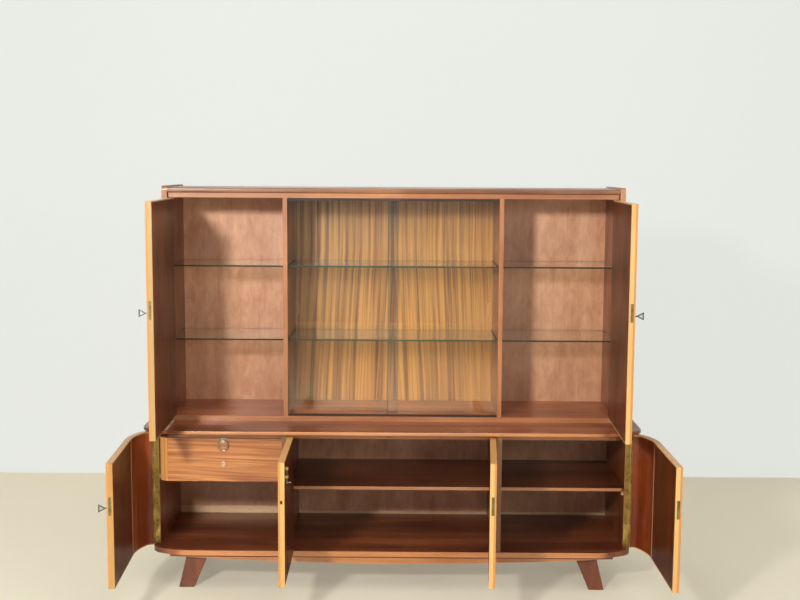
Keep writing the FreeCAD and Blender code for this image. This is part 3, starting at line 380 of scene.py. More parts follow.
class Surface(Graph):
    """A material with its Principled shader and object coordinates."""

    def __init__(self, name):
        self.material = bpy.data.materials.new(name)
        self.material.use_nodes = True
        super().__init__(self.material.node_tree)
        self.tree.nodes.clear()
        self.output = self.node("OutputMaterial")
        self.shader = self.node("BsdfPrincipled")
        self.body = Value(self, self.shader.outputs[0])
        self.show(self.body)
        where = self.node("TexCoord").outputs
        self.place = Value(self, where["Object"])
        self.facing = Value(self, where["Normal"])

    def show(self, shader):
        self.feed(self.output.inputs["Surface"], shader)

    def use(self, name, builder, inputs):
        """Adds a shared node group, which is built at its first use."""
        tree = bpy.data.node_groups.get(name) or builder()
        made = self.node("Group", inputs, node_tree=tree)
        return {socket.name: Value(self, socket) for socket in made.outputs}

    def set(self, **inputs):
        for name, value in inputs.items():
            self.feed(self.shader.inputs[name.replace("_", " ")], value)

    def bump(self, height, strength, distance):
        inputs = {"Height": height, "Strength": strength, "Distance": distance}
        self.set(Normal=self.value("Bump", inputs))

    def turned(self, grain):
        """Object coordinates with the grain direction as the third axis."""
        x, y, z = self.parts(self.place)
        return self.joined(*{"X": (z, y, x), "Y": (x, z, y), "Z": (x, y, z)}[grain])

    def front(self):
        """One on faces that look to the front, zero elsewhere."""
        return self.parts(self.facing)[1] * -1.0 > LOOKS_ALONG

    def finish_wood(self, shade, wood, wear, rough, coat):
        """Lightens a wood's colour where it is scuffed, adds sheen and gives the material."""
        mask = self.use("Marks of use", marks_group, {"Vector": self.place})["Mask"]
        lighter = self.blend(1.0, shade, (0.16, 0.13, 0.11, 1), "ADD")
        satin = self.remap(wood["Dullness"], 0.3, 0.7, rough - 0.06, rough + 0.08)
        self.set(Base_Color=self.blend(mask * wear, shade, lighter), Roughness=satin + mask * 0.14)
        self.set(Coat_Weight=coat, Coat_Roughness=0.16)
        self.bump(wood["Height"], 0.22, 0.0004)
        return self.material


PLAIN = (1.0, 1.0, 1.0)


def pair(finish, stem, share=PLAIN):
    """The lighter and the darker tone of one wood or metal, each times a share."""
    return [
        [value * part for value, part in zip(getattr(finish, f"{stem}_{end}"), share)]
        for end in ("pale", "dark")
    ]


def two_tones(place, ends):
    return {"Vector": place, "Pale": solid(ends[0]), "Dark": solid(ends[1])}


def timber(surface, grain, ends, bands=14.0, contrast=1.0, fibre=0.5, pores=0.5, mottle=0.2):
    """Wood figure between two tones, with its grain along an axis or a given vector."""
    place = surface.turned(grain) if isinstance(grain, str) else grain
    figure = {"Bands": bands, "Contrast": contrast, "Fibre": fibre, "Pores": pores}
    inputs = {**two_tones(place, ends), **figure, "Mottle": mottle}
    return surface.use("Timber figure", timber_group, inputs)


# Half the run over which a pale edge fades; depths below a joint where its painted shadow ends and
# is full.
EDGE_FADE = 0.02
SHADE_END = 0.0115
SHADE_FULL = 0.0085


def case_wood(name, grain, finish, edge, tone, ends, joint):
    """Board wood with a paler front edge, which past the ends keeps the board's tone.

    From just below the height of a joint the front is dark: a painted shadow of the board above the
    joint.
    """
    surface = Surface(name)
    board = pair(finish, "case", (tone, tone, tone))
    wood = timber(surface, grain, board, bands=11, contrast=1.1)
    rim = timber(surface, grain, pair(finish, edge), 16, contrast=0.8, fibre=0.7, pores=0.35)
    x, _, z = surface.parts(surface.place)
    front = surface.front()
    if ends is not None:
        front = front * surface.remap(abs(x), ends - EDGE_FADE, ends + EDGE_FADE, 1.0, 0.1)
    shade = surface.blend(front, wood["Color"], rim["Color"])
    # Painted shadow: a band of the apron's front under the bottom board is darkened toward the
    # board's dark tone.
    if joint is not None:
        above = surface.remap(z, joint - SHADE_END, joint - SHADE_FULL, 0.0, 0.75)
        shade = surface.blend(above, shade, solid(board[1]))
    return surface.finish_wood(shade, wood, wear=0.35, rough=0.34, coat=finish.lacquer)


def plain_wood(name, grain, ends, rough, wear=0.3, coat=0.1, contrast=0.8, fibre=0.7, pores=0.4):
    surface = Surface(name)
    wood = timber(surface, grain, ends, 18, contrast, fibre, pores)
    return surface.finish_wood(wood["Color"], wood, wear, rough, coat)


# The depths between which an end door turns from flat to bent.
BEND_RANGE = (-0.14, -0.04)


def door_wood(name, finish, curved, side):
    """Dark inside, lighter ribbon veneer outside, redder where an end door bends."""
    surface = Surface(name)
    inside = {"bands": 9, "fibre": 0.6, "pores": 0.6}
    wood = timber(surface, "Z", pair(finish, "door"), **inside)
    shade = wood["Color"]
    if curved:
        bend = timber(surface, "Z", pair(finish, "curve"), **inside)
        near = surface.remap(surface.parts(surface.place)[1], *BEND_RANGE)
        shade = surface.blend(near, shade, bend["Color"])
    face = timber(surface, "Z", pair(finish, "face"), bands=30, fibre=0.7, pores=0.6)
    across, along, _ = surface.parts(surface.facing)
    shade = surface.blend(across * side + along > 0.3, shade, face["Color"])
    surface.set(Specular_IOR_Level=0.25)
    return surface.finish_wood(shade, wood, wear=0.25, rough=0.36, coat=finish.lacquer * 0.3)


# Shares of red, green and blue that are left in the lipping of the two outer left doors, which is
# darker.
LEFT_LIPPING_SHARE = {"upper_left_door": (0.68, 0.74, 0.82), "end_left_door": (0.66, 0.60, 0.46)}
# Place of the veneer's line across the free edge, its soft half width, and that edge's depth.
VENEER_SHARE = 0.36
VENEER_FADE = 0.0008
FREE_EDGE_DEPTH = 0.004


def lipping_wood(door, finish):
    """Pale lipping whose free edge shows the outer veneer as a darker line."""
    surface = Surface(f"lipping {door}")
    lipping_tones = pair(finish, "lipping", LEFT_LIPPING_SHARE.get(door, PLAIN))
    wood = timber(surface, "Z", lipping_tones, bands=20, contrast=0.7, fibre=0.6, pores=0.2)
    corners = points(f"{door}_lipping")
    front = min(c.y for c in corners)
    sides = [c.x for c in corners if c.y < front + FREE_EDGE_DEPTH]
    outer, inner = sorted((min(sides), max(sides)), reverse=hand(door) > 0)
    line = outer + (inner - outer) * VENEER_SHARE
    ends = (1, 0) if inner > outer else (0, 1)
    across = surface.parts(surface.place)[0]
    beyond = surface.remap(across, line - VENEER_FADE, line + VENEER_FADE, *ends)
    head = abs(surface.parts(surface.facing)[2]) > LOOKS_ALONG
    veneer = solid(finish.veneer_line)
    shade = surface.blend(head * 0.55, wood["Color"], veneer)
    shade = surface.blend(beyond * surface.front(), shade, veneer)
    return surface.finish_wood(shade, wood, wear=0.2, rough=0.36, coat=finish.lacquer)


def back_wood(finish):
    """Plain veneer with painted shade that darkens it toward the foot, but less so in the middle
    bay.
    """
    surface = Surface("plain back veneer")
    figure = {"bands": 9, "contrast": 0.5, "fibre": 0.3, "pores": 0.25, "mottle": 1.6}
    wood = timber(surface, "Z", pair(finish, "back"), **figure)
    x, _, z = surface.parts(surface.place)
    # Painted shade: darker toward the foot, where less light reaches, and lighter in the middle
    # bay, where more falls.
    low = surface.remap(z, 0.5, 1.4, 1.0, 0.0)
    aside = surface.remap(abs(x), 0.36, 0.40, 0.1, 1.0)
    painted_shade = surface.blend(1.0, wood["Color"], (0.74, 0.70, 0.64, 1), "MULTIPLY")
    shade = surface.blend(low * aside, wood["Color"], painted_shade)
    return surface.finish_wood(shade, wood, wear=0.25, rough=0.42, coat=0.15)


def striped_wood(finish):
    """Striped veneer in front and plain veneer on the rear."""
    surface = Surface("striped back veneer")
    inputs = two_tones(surface.place, pair(finish, "stripe"))
    wood = surface.use("Striped veneer", stripe_group, inputs)
    figure = {"bands": 9, "contrast": 0.5, "fibre": 0.4, "pores": 0.8}
    plain = timber(surface, "Z", pair(finish, "back"), **figure)
    rear = surface.parts(surface.facing)[1] > LOOKS_ALONG
    shade = surface.blend(rear, wood["Color"], plain["Color"])
    return surface.finish_wood(shade, wood, wear=0.15, rough=0.38, coat=0.2)


# Joints of the upright bands at the drawer front's curved end, by their distance from the middle;
# half the width of a joint's line; rise of the streaks and how far they are drawn out.
BAND_JOINTS = (0.810, 0.822)
BAND_LINE = 0.0007
STREAK_SLOPE = 0.035
STREAK_DRAW = 0.3


def drawer_wood(finish):
    """Long sloping streaks with upright bands at the curved end."""
    surface = Surface("drawer front veneer")
    x, y, z = surface.parts(surface.place)
    streak = surface.joined(z + x * STREAK_SLOPE, y, x * STREAK_DRAW)
    wood = timber(surface, streak, pair(finish, "drawer"), 62, contrast=0.9, fibre=0.9, pores=0.3)
    figure = {"bands": 20, "contrast": 0.7, "fibre": 0.6, "pores": 0.2}
    band = timber(surface, "Z", (finish.lipping_dark, finish.drawer_pale), **figure)
    side = x * -1.0
    shade = surface.blend(side > BAND_JOINTS[0], wood["Color"], band["Color"])
    for joint in BAND_JOINTS:
        shade = surface.blend(abs(side - joint) < BAND_LINE, shade, solid(finish.drawer_dark))
    return surface.finish_wood(shade, wood, wear=0.25, rough=0.32, coat=finish.lacquer)


def metal(name, ends, low, high):
    """Metal between two tones, with its roughness between two values."""
    surface = Surface(name)
    made = surface.use("Metal patina", patina_group, two_tones(surface.place, ends))
    rough = surface.remap(made["Dullness"], 0, 1, low, high)
    surface.set(Base_Color=made["Color"], Metallic=1.0, Roughness=rough)
    surface.bump(made["Height"], 0.15, 0.0002)
    return surface.material


# Height and half sizes of a pane's finger pull, and half the width of its ground rim.
PULL_HEIGHT = 1.0135
PULL_HALF_WIDTH = 0.0052
PULL_HALF_HEIGHT = 0.0232
RIM_HALF_WIDTH = 0.0014


def clear_glass(name, axis, finish, veil, pull=None, rim=None):
    """Clear glass with ground edges; a pane also has a ground finger pull and a ground rim."""
    surface = Surface(name)
    ground = abs(surface.parts(surface.facing)[axis]) < LOOKS_ALONG
    smear = surface.use("Glass smears", smudge_group, {"Vector": surface.place})["Mask"]
    rough = smear * 0.05
    if pull is not None:
        x, _, z = surface.parts(surface.place)
        wide = abs(x - pull) < PULL_HALF_WIDTH
        tall = abs(z - PULL_HEIGHT) < PULL_HALF_HEIGHT
        rough = rough | wide * tall * 0.22
        ground = ground | (abs(x - rim) < RIM_HALF_WIDTH)
    shade = surface.blend(ground, solid(finish.glass), solid(finish.glass_edge))
    surface.set(Base_Color=shade, Roughness=rough | ground * 0.4)
    surface.set(Transmission_Weight=1.0, IOR=1.5)
    matt = surface.value("BsdfDiffuse", {"Color": solid(finish.glass_edge)})
    through = surface.value("BsdfTransparent", {"Color": solid(veil)})
    shadow = surface.value("LightPath", output="Is Shadow Ray")
    surface.show(surface.mixed(shadow, surface.mixed(ground * 0.8, surface.body, matt), through))
    return surface.material


def dress(material, *names):
    """Gives CAD nodes their material."""
    for name in names:
        slots = frame["nodes"][name].data.materials
        if len(slots) == 0:
            slots.append(material)
        for index in range(len(slots)):
            slots[index] = material


def points(node):
    return [v.co for v in frame["nodes"][node].data.vertices]


def corners_of(places):
    """Lowest and highest corner of the box round some points."""
    low = Vector(min(c[i] for c in places) for i in range(3))
    return low, Vector(max(c[i] for c in places) for i in range(3))


def islands(node):
    """Lowest and highest corner of each loose part of a CAD node."""
    mesh = bmesh.new()
    mesh.from_mesh(frame["nodes"][node].data)
    bmesh.ops.remove_doubles(mesh, verts=mesh.verts, dist=1e-6)
    left = set(mesh.verts)
    boxes = []
    while left:
        front = [left.pop()]
        part = []
        while front:
            vert = front.pop()
            part.append(vert.co.copy())
            reached = [e.other_vert(vert) for e in vert.link_edges]
            front += [v for v in reached if v in left]
            left.difference_update(reached)
        boxes.append(corners_of(part))
    mesh.free()
    return boxes


def hand(door):
    """Minus one for a door on the left, one for a door on the right."""
    return -1 if "left" in door else 1


def joint_of(name):
    return next(joint for joint in frame["joints"] if joint["name"] == name)


def opening(door):
    """The turn that takes a door from shut to its place at rest."""
    joint = joint_of(f"{door}_hinge")
    pivot = Matrix.Translation(Vector(joint["pos_m"]))
    turn = Matrix.Rotation(-math.radians(joint["range_deg"][0]), 4, Vector(joint["axis"]))
    return pivot @ turn @ pivot.inverted()


def shut_points(node, door):
    """The corners of a door's node with the door shut."""
    close = opening(door).inverted()
    return [close @ co for co in points(node)]


def shut_box(node, door):
    return corners_of(shut_points(node, door))


def piece(name, mesh, material, body):
    """Turns a bmesh into an object that rides a body, with a material found by its name.

    The carried parts bring a plain "brass" and "steel", so those two names mean these.
    """
    bmesh.ops.remove_doubles(mesh, verts=mesh.verts, dist=1e-7)
    bmesh.ops.recalc_face_normals(mesh, faces=mesh.faces)
    data = bpy.data.meshes.new(name)
    mesh.to_mesh(data)
    mesh.free()
    data.shade_smooth()
    data.set_sharp_from_angle(angle=math.radians(40))
    made = bpy.data.objects.new(name, data)
    bpy.context.scene.collection.objects.link(made)
    data.materials.append(bpy.data.materials[material])
    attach(made, body)


def added(mesh, build):
    """The vertices that a building step adds to a mesh."""
    before = set(mesh.verts)
    build()
    return [v for v in mesh.verts if v not in before]


def lift(mesh, faces, offset):
    """Extrudes faces by an offset and gives the new vertices and faces."""
    made = bmesh.ops.extrude_face_region(mesh, geom=faces)["geom"]
    verts = [item for item in made if isinstance(item, bmesh.types.BMVert)]
    bmesh.ops.translate(mesh, verts=verts, vec=offset)
    return verts, [item for item in made if isinstance(item, bmesh.types.BMFace)]


def add_screw(mesh, place, radius, height, turn):
    """A slotted countersunk head that looks along the third axis of a place."""
    taper, slot_half, slot_depth = 0.93, 0.17, 0.9

    def head():
        rim = bmesh.ops.create_circle(mesh, cap_ends=True, segments=12, radius=radius)
        face = rim["verts"][0].link_faces[0]
        top, cap = lift(mesh, [face], (0, 0, height))
        bmesh.ops.scale(mesh, verts=top, vec=(taper, taper, 1))
        for side in (-1, 1):
            geometry = cap + [e for f in cap for e in f.edges] + top
            cut = bmesh.ops.bisect_plane(
                mesh, geom=list(dict.fromkeys(geometry)), plane_no=(1, 0, 0),
                plane_co=(side * radius * slot_half, 0, 0), dist=1e-8,
            )
            cap = [item for item in cut["geom"] if isinstance(item, bmesh.types.BMFace)]
            top = list({v for f in cap for v in f.verts})
        slot = min(cap, key=lambda f: abs(f.calc_center_median().x))
        lift(mesh, [slot], (0, 0, -height * slot_depth))

    verts = added(mesh, head)
    bmesh.ops.transform(mesh, matrix=place @ Matrix.Rotation(turn, 4, "Z"), verts=verts)


def facing(point, normal):
    """A place at a point with its third axis along a direction."""
    turn = Vector(normal).to_track_quat("Z", "Y").to_matrix().to_4x4()
    return Matrix.Translation(point) @ turn


def add_bar(mesh, low, high, bevel):
    """A bar between two corners with rounded edges."""
    size = Vector(high) - Vector(low)
    middle = (Vector(high) + Vector(low)) / 2
    place = Matrix.Translation(middle) @ Matrix.Diagonal((*size, 1))

    def bar():
        made = bmesh.ops.create_cube(mesh, size=1.0)["verts"]
        bmesh.ops.transform(mesh, matrix=place, verts=made)
        edges = list({e for v in made for e in v.link_edges})
        bmesh.ops.bevel(
            mesh, geom=edges, offset=bevel, offset_type="OFFSET", segments=2, profile=0.5,
            affect="EDGES", material=-1,
        )

    return added(mesh, bar)


class HighboardOperator:
    bl_options = {"REGISTER", "UNDO"}

    def execute(self, context):
        self.build(context.scene)
        return {"FINISHED"}


# Material, grain, tones of the front edge, share of the board's tone, ends of the pale edge, nodes.
BOARDS = (
    ("lower top wood", "X", "edge", 1.2, 0.748, ("lower_top",)),
    ("lower board wood", "X", "edge", 1.0, 0.768, ("lower_bottom", "lower_front_rails")),
    ("base rail wood", "X", "edge", 1.0, 0.768, ("base_rails",)),
    ("lower shelf wood", "X", "jamb", 0.5, None, ("lower_shelves",)),
    # The lower dividers take the darker nose tones on their front edges: painted shade for edges
    # that stand in shadow beside the doors.
    ("lower divider wood", "Z", "nose", 1.0, None, ("lower_dividers",)),
    ("hutch board wood", "X", "jamb", 1.5, None, ("hutch_bottom", "hutch_rail", "shelf_pins")),
    ("hutch top wood", "X", "nose", 1.0, None, ("hutch_top",)),
    ("upright wood", "Z", "jamb", 1.0, None, ("lower_sides", "hutch_sides", "hutch_dividers")),
)


class HIGHBOARD_OT_case_wood(HighboardOperator, bpy.types.Operator):
    """Finishes the boards, backs, rails and legs of the case"""

    bl_idname = "highboard.case_wood"
    bl_label = "Case wood"

    def build(self, scene):
        finish = scene.highboard_finish
        for name, grain, edge, tone, ends, nodes in BOARDS:
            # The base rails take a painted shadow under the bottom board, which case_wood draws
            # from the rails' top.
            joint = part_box("base_rails")[1].z if "base_rails" in nodes else None
            dress(case_wood(name, grain, finish, edge, tone, ends, joint), *nodes)
        leg = plain_wood(
            "leg wood", "Z", pair(finish, "leg"), rough=0.36, wear=0.5, coat=finish.lacquer,
            contrast=1.0, fibre=0.5, pores=0.5,
        )
        dress(leg, "legs")
        dress(back_wood(finish), "lower_back", "hutch_side_backs")
        dress(striped_wood(finish), "hutch_middle_back")
        dress(plain_wood("glass track", "X", pair(finish, "track"), rough=0.6), "glass_tracks")


class HIGHBOARD_OT_door_wood(HighboardOperator, bpy.types.Operator):
    """Finishes the six doors and their lipping"""

    bl_idname = "highboard.door_wood"
    bl_label = "Door wood"

    def build(self, scene):
        finish = scene.highboard_finish
        for side, name in ((-1.0, "left"), (1.0, "right")):
            flat = door_wood(f"flat {name} door wood", finish, False, side)
            curved = door_wood(f"curved {name} door wood", finish, True, side)
            dress(flat, f"upper_{name}_door_panel", f"middle_{name}_door_panel")
            dress(curved, f"end_{name}_door_panel")
        for door in DOORS:
            dress(lipping_wood(door, finish), f"{door}_lipping")


class HIGHBOARD_OT_drawer_wood(HighboardOperator, bpy.types.Operator):
    """Finishes the drawer front, its box and the runners"""

    bl_idname = "highboard.drawer_wood"
    bl_label = "Drawer wood"

    def build(self, scene):
        finish = scene.highboard_finish
        dress(drawer_wood(finish), "drawer_front")
        box = plain_wood("drawer box wood", "X", pair(finish, "inside"), rough=0.5)
        dress(box, "drawer_box", "drawer_runners")


# What is left of the light behind glass, and places on a pane by their distance from the middle.
PANE_VEIL = (0.90, 0.93, 0.90)
SHELF_VEIL = (0.66, 0.67, 0.63)
PULL_PLACE = 0.349
RIM_PLACE = 0.018


class HIGHBOARD_OT_glass(HighboardOperator, bpy.types.Operator):
    """Finishes the sliding panes and the glass shelves"""

    bl_idname = "highboard.glass"
    bl_label = "Glass"

    def build(self, scene):
        finish = scene.highboard_finish
        for side, name in ((-1, "left"), (1, "right")):
            places = (side * PULL_PLACE, -side * RIM_PLACE)
            pane = clear_glass(f"{name} pane glass", 1, finish, PANE_VEIL, *places)
            dress(pane, f"glass_pane_{name}")
        dress(clear_glass("shelf glass", 2, finish, SHELF_VEIL), "glass_shelves")


# Material, tones, lowest and highest roughness.
METALS = (
    ("brass", "brass", 0.28, 0.5),
    ("lock brass", "lock", 0.34, 0.55),
    ("steel", "steel", 0.3, 0.55),
    ("nickel", "nickel", 0.22, 0.42),
    ("dark screw", "screw", 0.4, 0.6),
)


class HIGHBOARD_OT_metal(HighboardOperator, bpy.types.Operator):
    """Finishes the brass and steel fittings"""

    bl_idname = "highboard.metal"
    bl_label = "Metal"

    def build(self, scene):
        finish = scene.highboard_finish
        made = {name: metal(name, pair(finish, stem), *rough) for name, stem, *rough in METALS}
        dress(made["brass"], "hinge_frame_leaves", "barrel_bolt_guide")
        dress(made["brass"], *(f"{door}_hinge_leaf" for door in DOORS))
        dress(made["lock brass"], *(door.replace("_door", "_lock") for door in LOCKED_DOORS))
        dress(made["nickel"], "drawer_fittings", "drawer_pull_ring", "barrel_bolt_eye")
        dress(made["steel"], "hinge_pins", "barrel_bolt_rod")
        dress(made["steel"], *(door.replace("_door", "_key") for door in KEYED_DOORS))
        dress(made["steel"], *(door.replace("_door", "_bolt") for door in KEYED_DOORS))


# Reach of a hinge round its pin, of its knuckles, and of its leaves past the end screws;
# how far the corners of one flat may differ in level.
HINGE_REACH = 0.03
KNUCKLE_REACH = 0.0028
HINGE_ENDS = 0.1
LEVEL_GAP = 2e-5


class HIGHBOARD_OT_hinge_screws(HighboardOperator, bpy.types.Operator):
    """Screws down both leaves of the six piano hinges"""

    bl_idname = "highboard.hinge_screws"
    bl_label = "Hinge screws"

    def build(self, scene):
        sizes = scene.highboard_fittings
        fixed = bmesh.new()
        for door in DOORS:
            low, high = shut_box(f"{door}_hinge_leaf", door)
            run = high.z - low.z - 2 * sizes.screw_end
            count = max(2, round(run / sizes.screw_pitch) + 1)
            heights = [low.z + sizes.screw_end + run * i / (count - 1) for i in range(count)]
            between = [(a + b) / 2 for a, b in zip(heights, heights[1:])]
            inward = Vector((0, 1, 0) if door.startswith("end") else (hand(door), 0, 0))
            verts = points("hinge_frame_leaves")
            places = self.leaf_places(verts, door, heights, -inward)
            self.row(fixed, places, -inward, sizes, Matrix(), turn=0.6, step=1.7)
            verts = shut_points(f"{door}_hinge_leaf", door)
            places = self.leaf_places(verts, door, between, inward)
            mesh = bmesh.new()
            self.row(mesh, places, inward, sizes, opening(door), turn=0.2, step=1.3)
            piece(f"hinge_screws_{door}", mesh, "dark screw", door)
        piece("hinge_screws_case", fixed, "dark screw", "case")

    def leaf_places(self, verts, door, heights, outward):
        """Points in the middle of the flat of a door's leaf that looks along a direction."""
        pivot = Vector(joint_of(f"{door}_hinge")["pos_m"])
        foot, head = heights[0] - HINGE_ENDS, heights[-1] + HINGE_ENDS
        near = [v for v in verts if max(map(abs, (v - pivot).xy)) < HINGE_REACH]
        near = [v for v in near if foot < v.z < head]
        if door.startswith("end"):
            flat = [v for v in near if abs(v.x) < abs(pivot.x) - KNUCKLE_REACH]
        else:
            flat = [v for v in near if v.y > pivot.y + KNUCKLE_REACH]
        axis = 0 if abs(outward.x) > 0.5 else 1
        other = 1 - axis
        sign = 1 if outward[axis] > 0 else -1
        level = sign * max(sign * v[axis] for v in flat)
        span = [v[other] for v in flat if abs(v[axis] - level) < LEVEL_GAP]
        for height in heights:
            point = Vector((0, 0, height))
            point[axis] = level
            point[other] = (min(span) + max(span)) / 2
            yield point

    def row(self, mesh, places, outward, sizes, move, turn, step):
        """Screws at some places, each turned a step further than the last."""
        for index, point in enumerate(places):
            place = move @ facing(point, outward)
            add_screw(mesh, place, sizes.screw_radius, sizes.screw_height, turn + index * step)


# Level of the flat inside of a shut end door behind its outer face, and how the strip sits there.
END_DOOR_FLAT = 0.021
SEAM_SINK = 0.0002
SEAM_END = 0.001


class HIGHBOARD_OT_seam_strips(HighboardOperator, bpy.types.Operator):
    """Covers the joint between the flat and the curve inside each end door"""

    bl_idname = "highboard.seam_strips"
    bl_label = "Seam strips"

    def build(self, scene):
        sizes = scene.highboard_fittings
        finish = scene.highboard_finish
        plain_wood("seam strip wood", "Z", (finish.back_dark, finish.jamb_pale), rough=0.4)
        half = sizes.seam_width / 2
        for door in ("end_left_door", "end_right_door"):
            low, high = shut_box(f"{door}_panel", door)
            flat = low.y + END_DOOR_FLAT
            middle = hand(door) * sizes.seam_place
            first = (middle - half, flat - SEAM_SINK, low.z + SEAM_END)
            last = (middle + half, flat + sizes.seam_height, high.z - SEAM_END)
            mesh = bmesh.new()
            verts = add_bar(mesh, first, last, bevel=sizes.seam_height * 0.4)
            bmesh.ops.transform(mesh, matrix=opening(door), verts=verts)
            piece(f"seam_strip_{door}", mesh, "seam strip wood", door)


# Middle of a door's edge behind its outer face, and a keyhole's place from edge and lock plate.
EDGE_MIDDLE = 0.0105
KEYHOLE_INSET = 0.020
KEYHOLE_DROP = 0.012


class HIGHBOARD_OT_lock_details(HighboardOperator, bpy.types.Operator):
    """Adds the lock plate screws and the keyhole plates on the outer faces"""

    bl_idname = "highboard.lock_details"
    bl_label = "Lock details"

    def build(self, scene):
        sizes = scene.highboard_fittings
        for door in LOCKED_DOORS:
            side = hand(door)
            low, high = shut_box(f"{door}_lipping", door)
            plate_low, plate_high = shut_box(door.replace("_door", "_lock"), door)
            free = high.x if side < 0 else low.x
            centre = (plate_low.z + plate_high.z) / 2
            screws = bmesh.new()
            for step in (-sizes.plate_step, sizes.plate_step):
                point = Vector((free, low.y + EDGE_MIDDLE, centre + step))
                place = opening(door) @ facing(point, (-side, 0, 0))
                add_screw(screws, place, sizes.plate_screw, sizes.screw_height, 0.4 + 20 * step)
            piece(f"lock_screws_{door}", screws, "lock brass", door)
            hole = Vector((free + side * KEYHOLE_INSET, low.y, centre - KEYHOLE_DROP))
            collar = bmesh.new()
            self.collar(collar, opening(door) @ facing(hole, (0, -1, 0)), sizes)
            piece(f"keyhole_plate_{door}", collar, "brass", door)

    def collar(self, mesh, place, sizes):
        """An oval ring with a sloped rim, looking along the third axis of its place."""
        wide, tall = sizes.collar_width, sizes.collar_height
        hole_wide, hole_tall = wide * 0.56, tall * 0.42
        slope = (0.93, 0.96, 1)
        for size in ((wide, tall, 1), (hole_wide, hole_tall, 1)):
            oval = bmesh.ops.create_circle(mesh, segments=24, radius=1)["verts"]
            bmesh.ops.scale(mesh, vec=size, verts=oval)
        ring = bmesh.ops.bridge_loops(mesh, edges=mesh.edges)["faces"]
        top, _ = lift(mesh, ring, (0, 0, sizes.collar_thick))
        bmesh.ops.scale(mesh, verts=top, vec=slope)
        bmesh.ops.transform(mesh, matrix=place, verts=mesh.verts)


# Each rib's distance from the middle of the bow and its run.
RIBS = ((-0.0036, 0.0085), (0.0, 0.0150), (0.0036, 0.0085))
RIB_HALF_THICK = 0.0007
RIB_HALF_WIDTH = 0.0011
RIB_ROUND = 0.0003


class HIGHBOARD_OT_key_ribs(HighboardOperator, bpy.types.Operator):
    """Fills the bow of each key with three slim ribs"""

    bl_idname = "highboard.key_ribs"
    bl_label = "Key ribs"

    def build(self, scene):
        for door in KEYED_DOORS:
            key = door.replace("_door", "_key")
            low, high = shut_box(key, door)
            x, _, z = (low + high) / 2
            start = low.y + scene.highboard_fittings.bow_bar - RIB_ROUND
            mesh = bmesh.new()
            for offset, run in RIBS:
                first = (x - RIB_HALF_THICK, start, z + offset - RIB_HALF_WIDTH)
                last = (x + RIB_HALF_THICK, start + run, z + offset + RIB_HALF_WIDTH)
                add_bar(mesh, first, last, RIB_ROUND)
            bmesh.ops.transform(mesh, matrix=opening(door), verts=mesh.verts)
            piece(f"{key}_ribs", mesh, "steel", key)


# Thickness of the bolt's plate and the distance of its screws from the plate's edges.
GUIDE_PLATE = 0.0015
GUIDE_INSET = (0.0024, 0.004)


class HIGHBOARD_OT_bolt_screws(HighboardOperator, bpy.types.Operator):
    """Screws down the plate of the barrel bolt"""

    bl_idname = "highboard.bolt_screws"
    bl_label = "Bolt screws"

    def build(self, scene):
        sizes = scene.highboard_fittings
        door = "middle_left_door"
        level = shut_box(f"{door}_panel", door)[1].y + GUIDE_PLATE
        low, high = shut_box("barrel_bolt_guide", door)
        aside, above = GUIDE_INSET
        mesh = bmesh.new()
        for x in (low.x + aside, high.x - aside):
            for z in (low.z + above, high.z - above):
                place = opening(door) @ facing(Vector((x, level, z)), (0, 1, 0))
                add_screw(mesh, place, sizes.guide_screw, sizes.screw_height * 3, 30 * z)
        piece("barrel_bolt_screws", mesh, "dark screw", door)


# Left and right end of each bay of the lower cabinet, and the height of its cover strip.
BAYS = ((-0.847, -0.393, 0.030), (-0.375, 0.375, 0.011), (0.393, 0.847, 0.011))
STRIP_GAP = 0.0005
STRIP_THICK = 0.003
STRIP_ROUND = 0.0012


class HIGHBOARD_OT_back_details(HighboardOperator, bpy.types.Operator):
    """Adds cover strips inside at the foot of the lower back and screws behind"""

    bl_idname = "highboard.back_details"
    bl_label = "Back details"

    def build(self, scene):
        plain_wood("cover strip wood", "X", pair(scene.highboard_finish, "strip"), rough=0.42)
        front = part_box("lower_back")[0].y
        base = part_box("lower_bottom")[1].z
        mesh = bmesh.new()
        for left, right, rise in BAYS:
            first = (left + STRIP_GAP, front - STRIP_THICK, base)
            add_bar(mesh, first, (right - STRIP_GAP, front, base + rise), STRIP_ROUND)
        piece("back_cover_strips", mesh, "cover strip wood", "case")
        screws = bmesh.new()
        for node in ("lower_back", "hutch_side_backs", "hutch_middle_back"):
            self.screw_rows(screws, node, scene.highboard_fittings)
        piece("back_screws", screws, "dark screw", "case")

    def screw_rows(self, mesh, node, sizes):
        """Screws along the four edges of a panel's rear."""
        low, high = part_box(node)
        inset = sizes.back_inset
        wide = max(2, round((high.x - low.x) / sizes.back_pitch))
        tall = max(2, round((high.z - low.z) / sizes.back_pitch))
        places = []
        for i in range(wide + 1):
            x = low.x + inset + (high.x - low.x - 2 * inset) * i / wide
            places += [(x, low.z + inset), (x, high.z - inset)]
        for i in range(1, tall):
            z = low.z + inset + (high.z - low.z - 2 * inset) * i / tall
            places += [(low.x + inset, z), (high.x - inset, z)]
        for x, z in places:
            place = facing(Vector((x, high.y, z)), (0, 1, 0))
            add_screw(mesh, place, sizes.back_screw, sizes.screw_height, 40 * x + 25 * z)


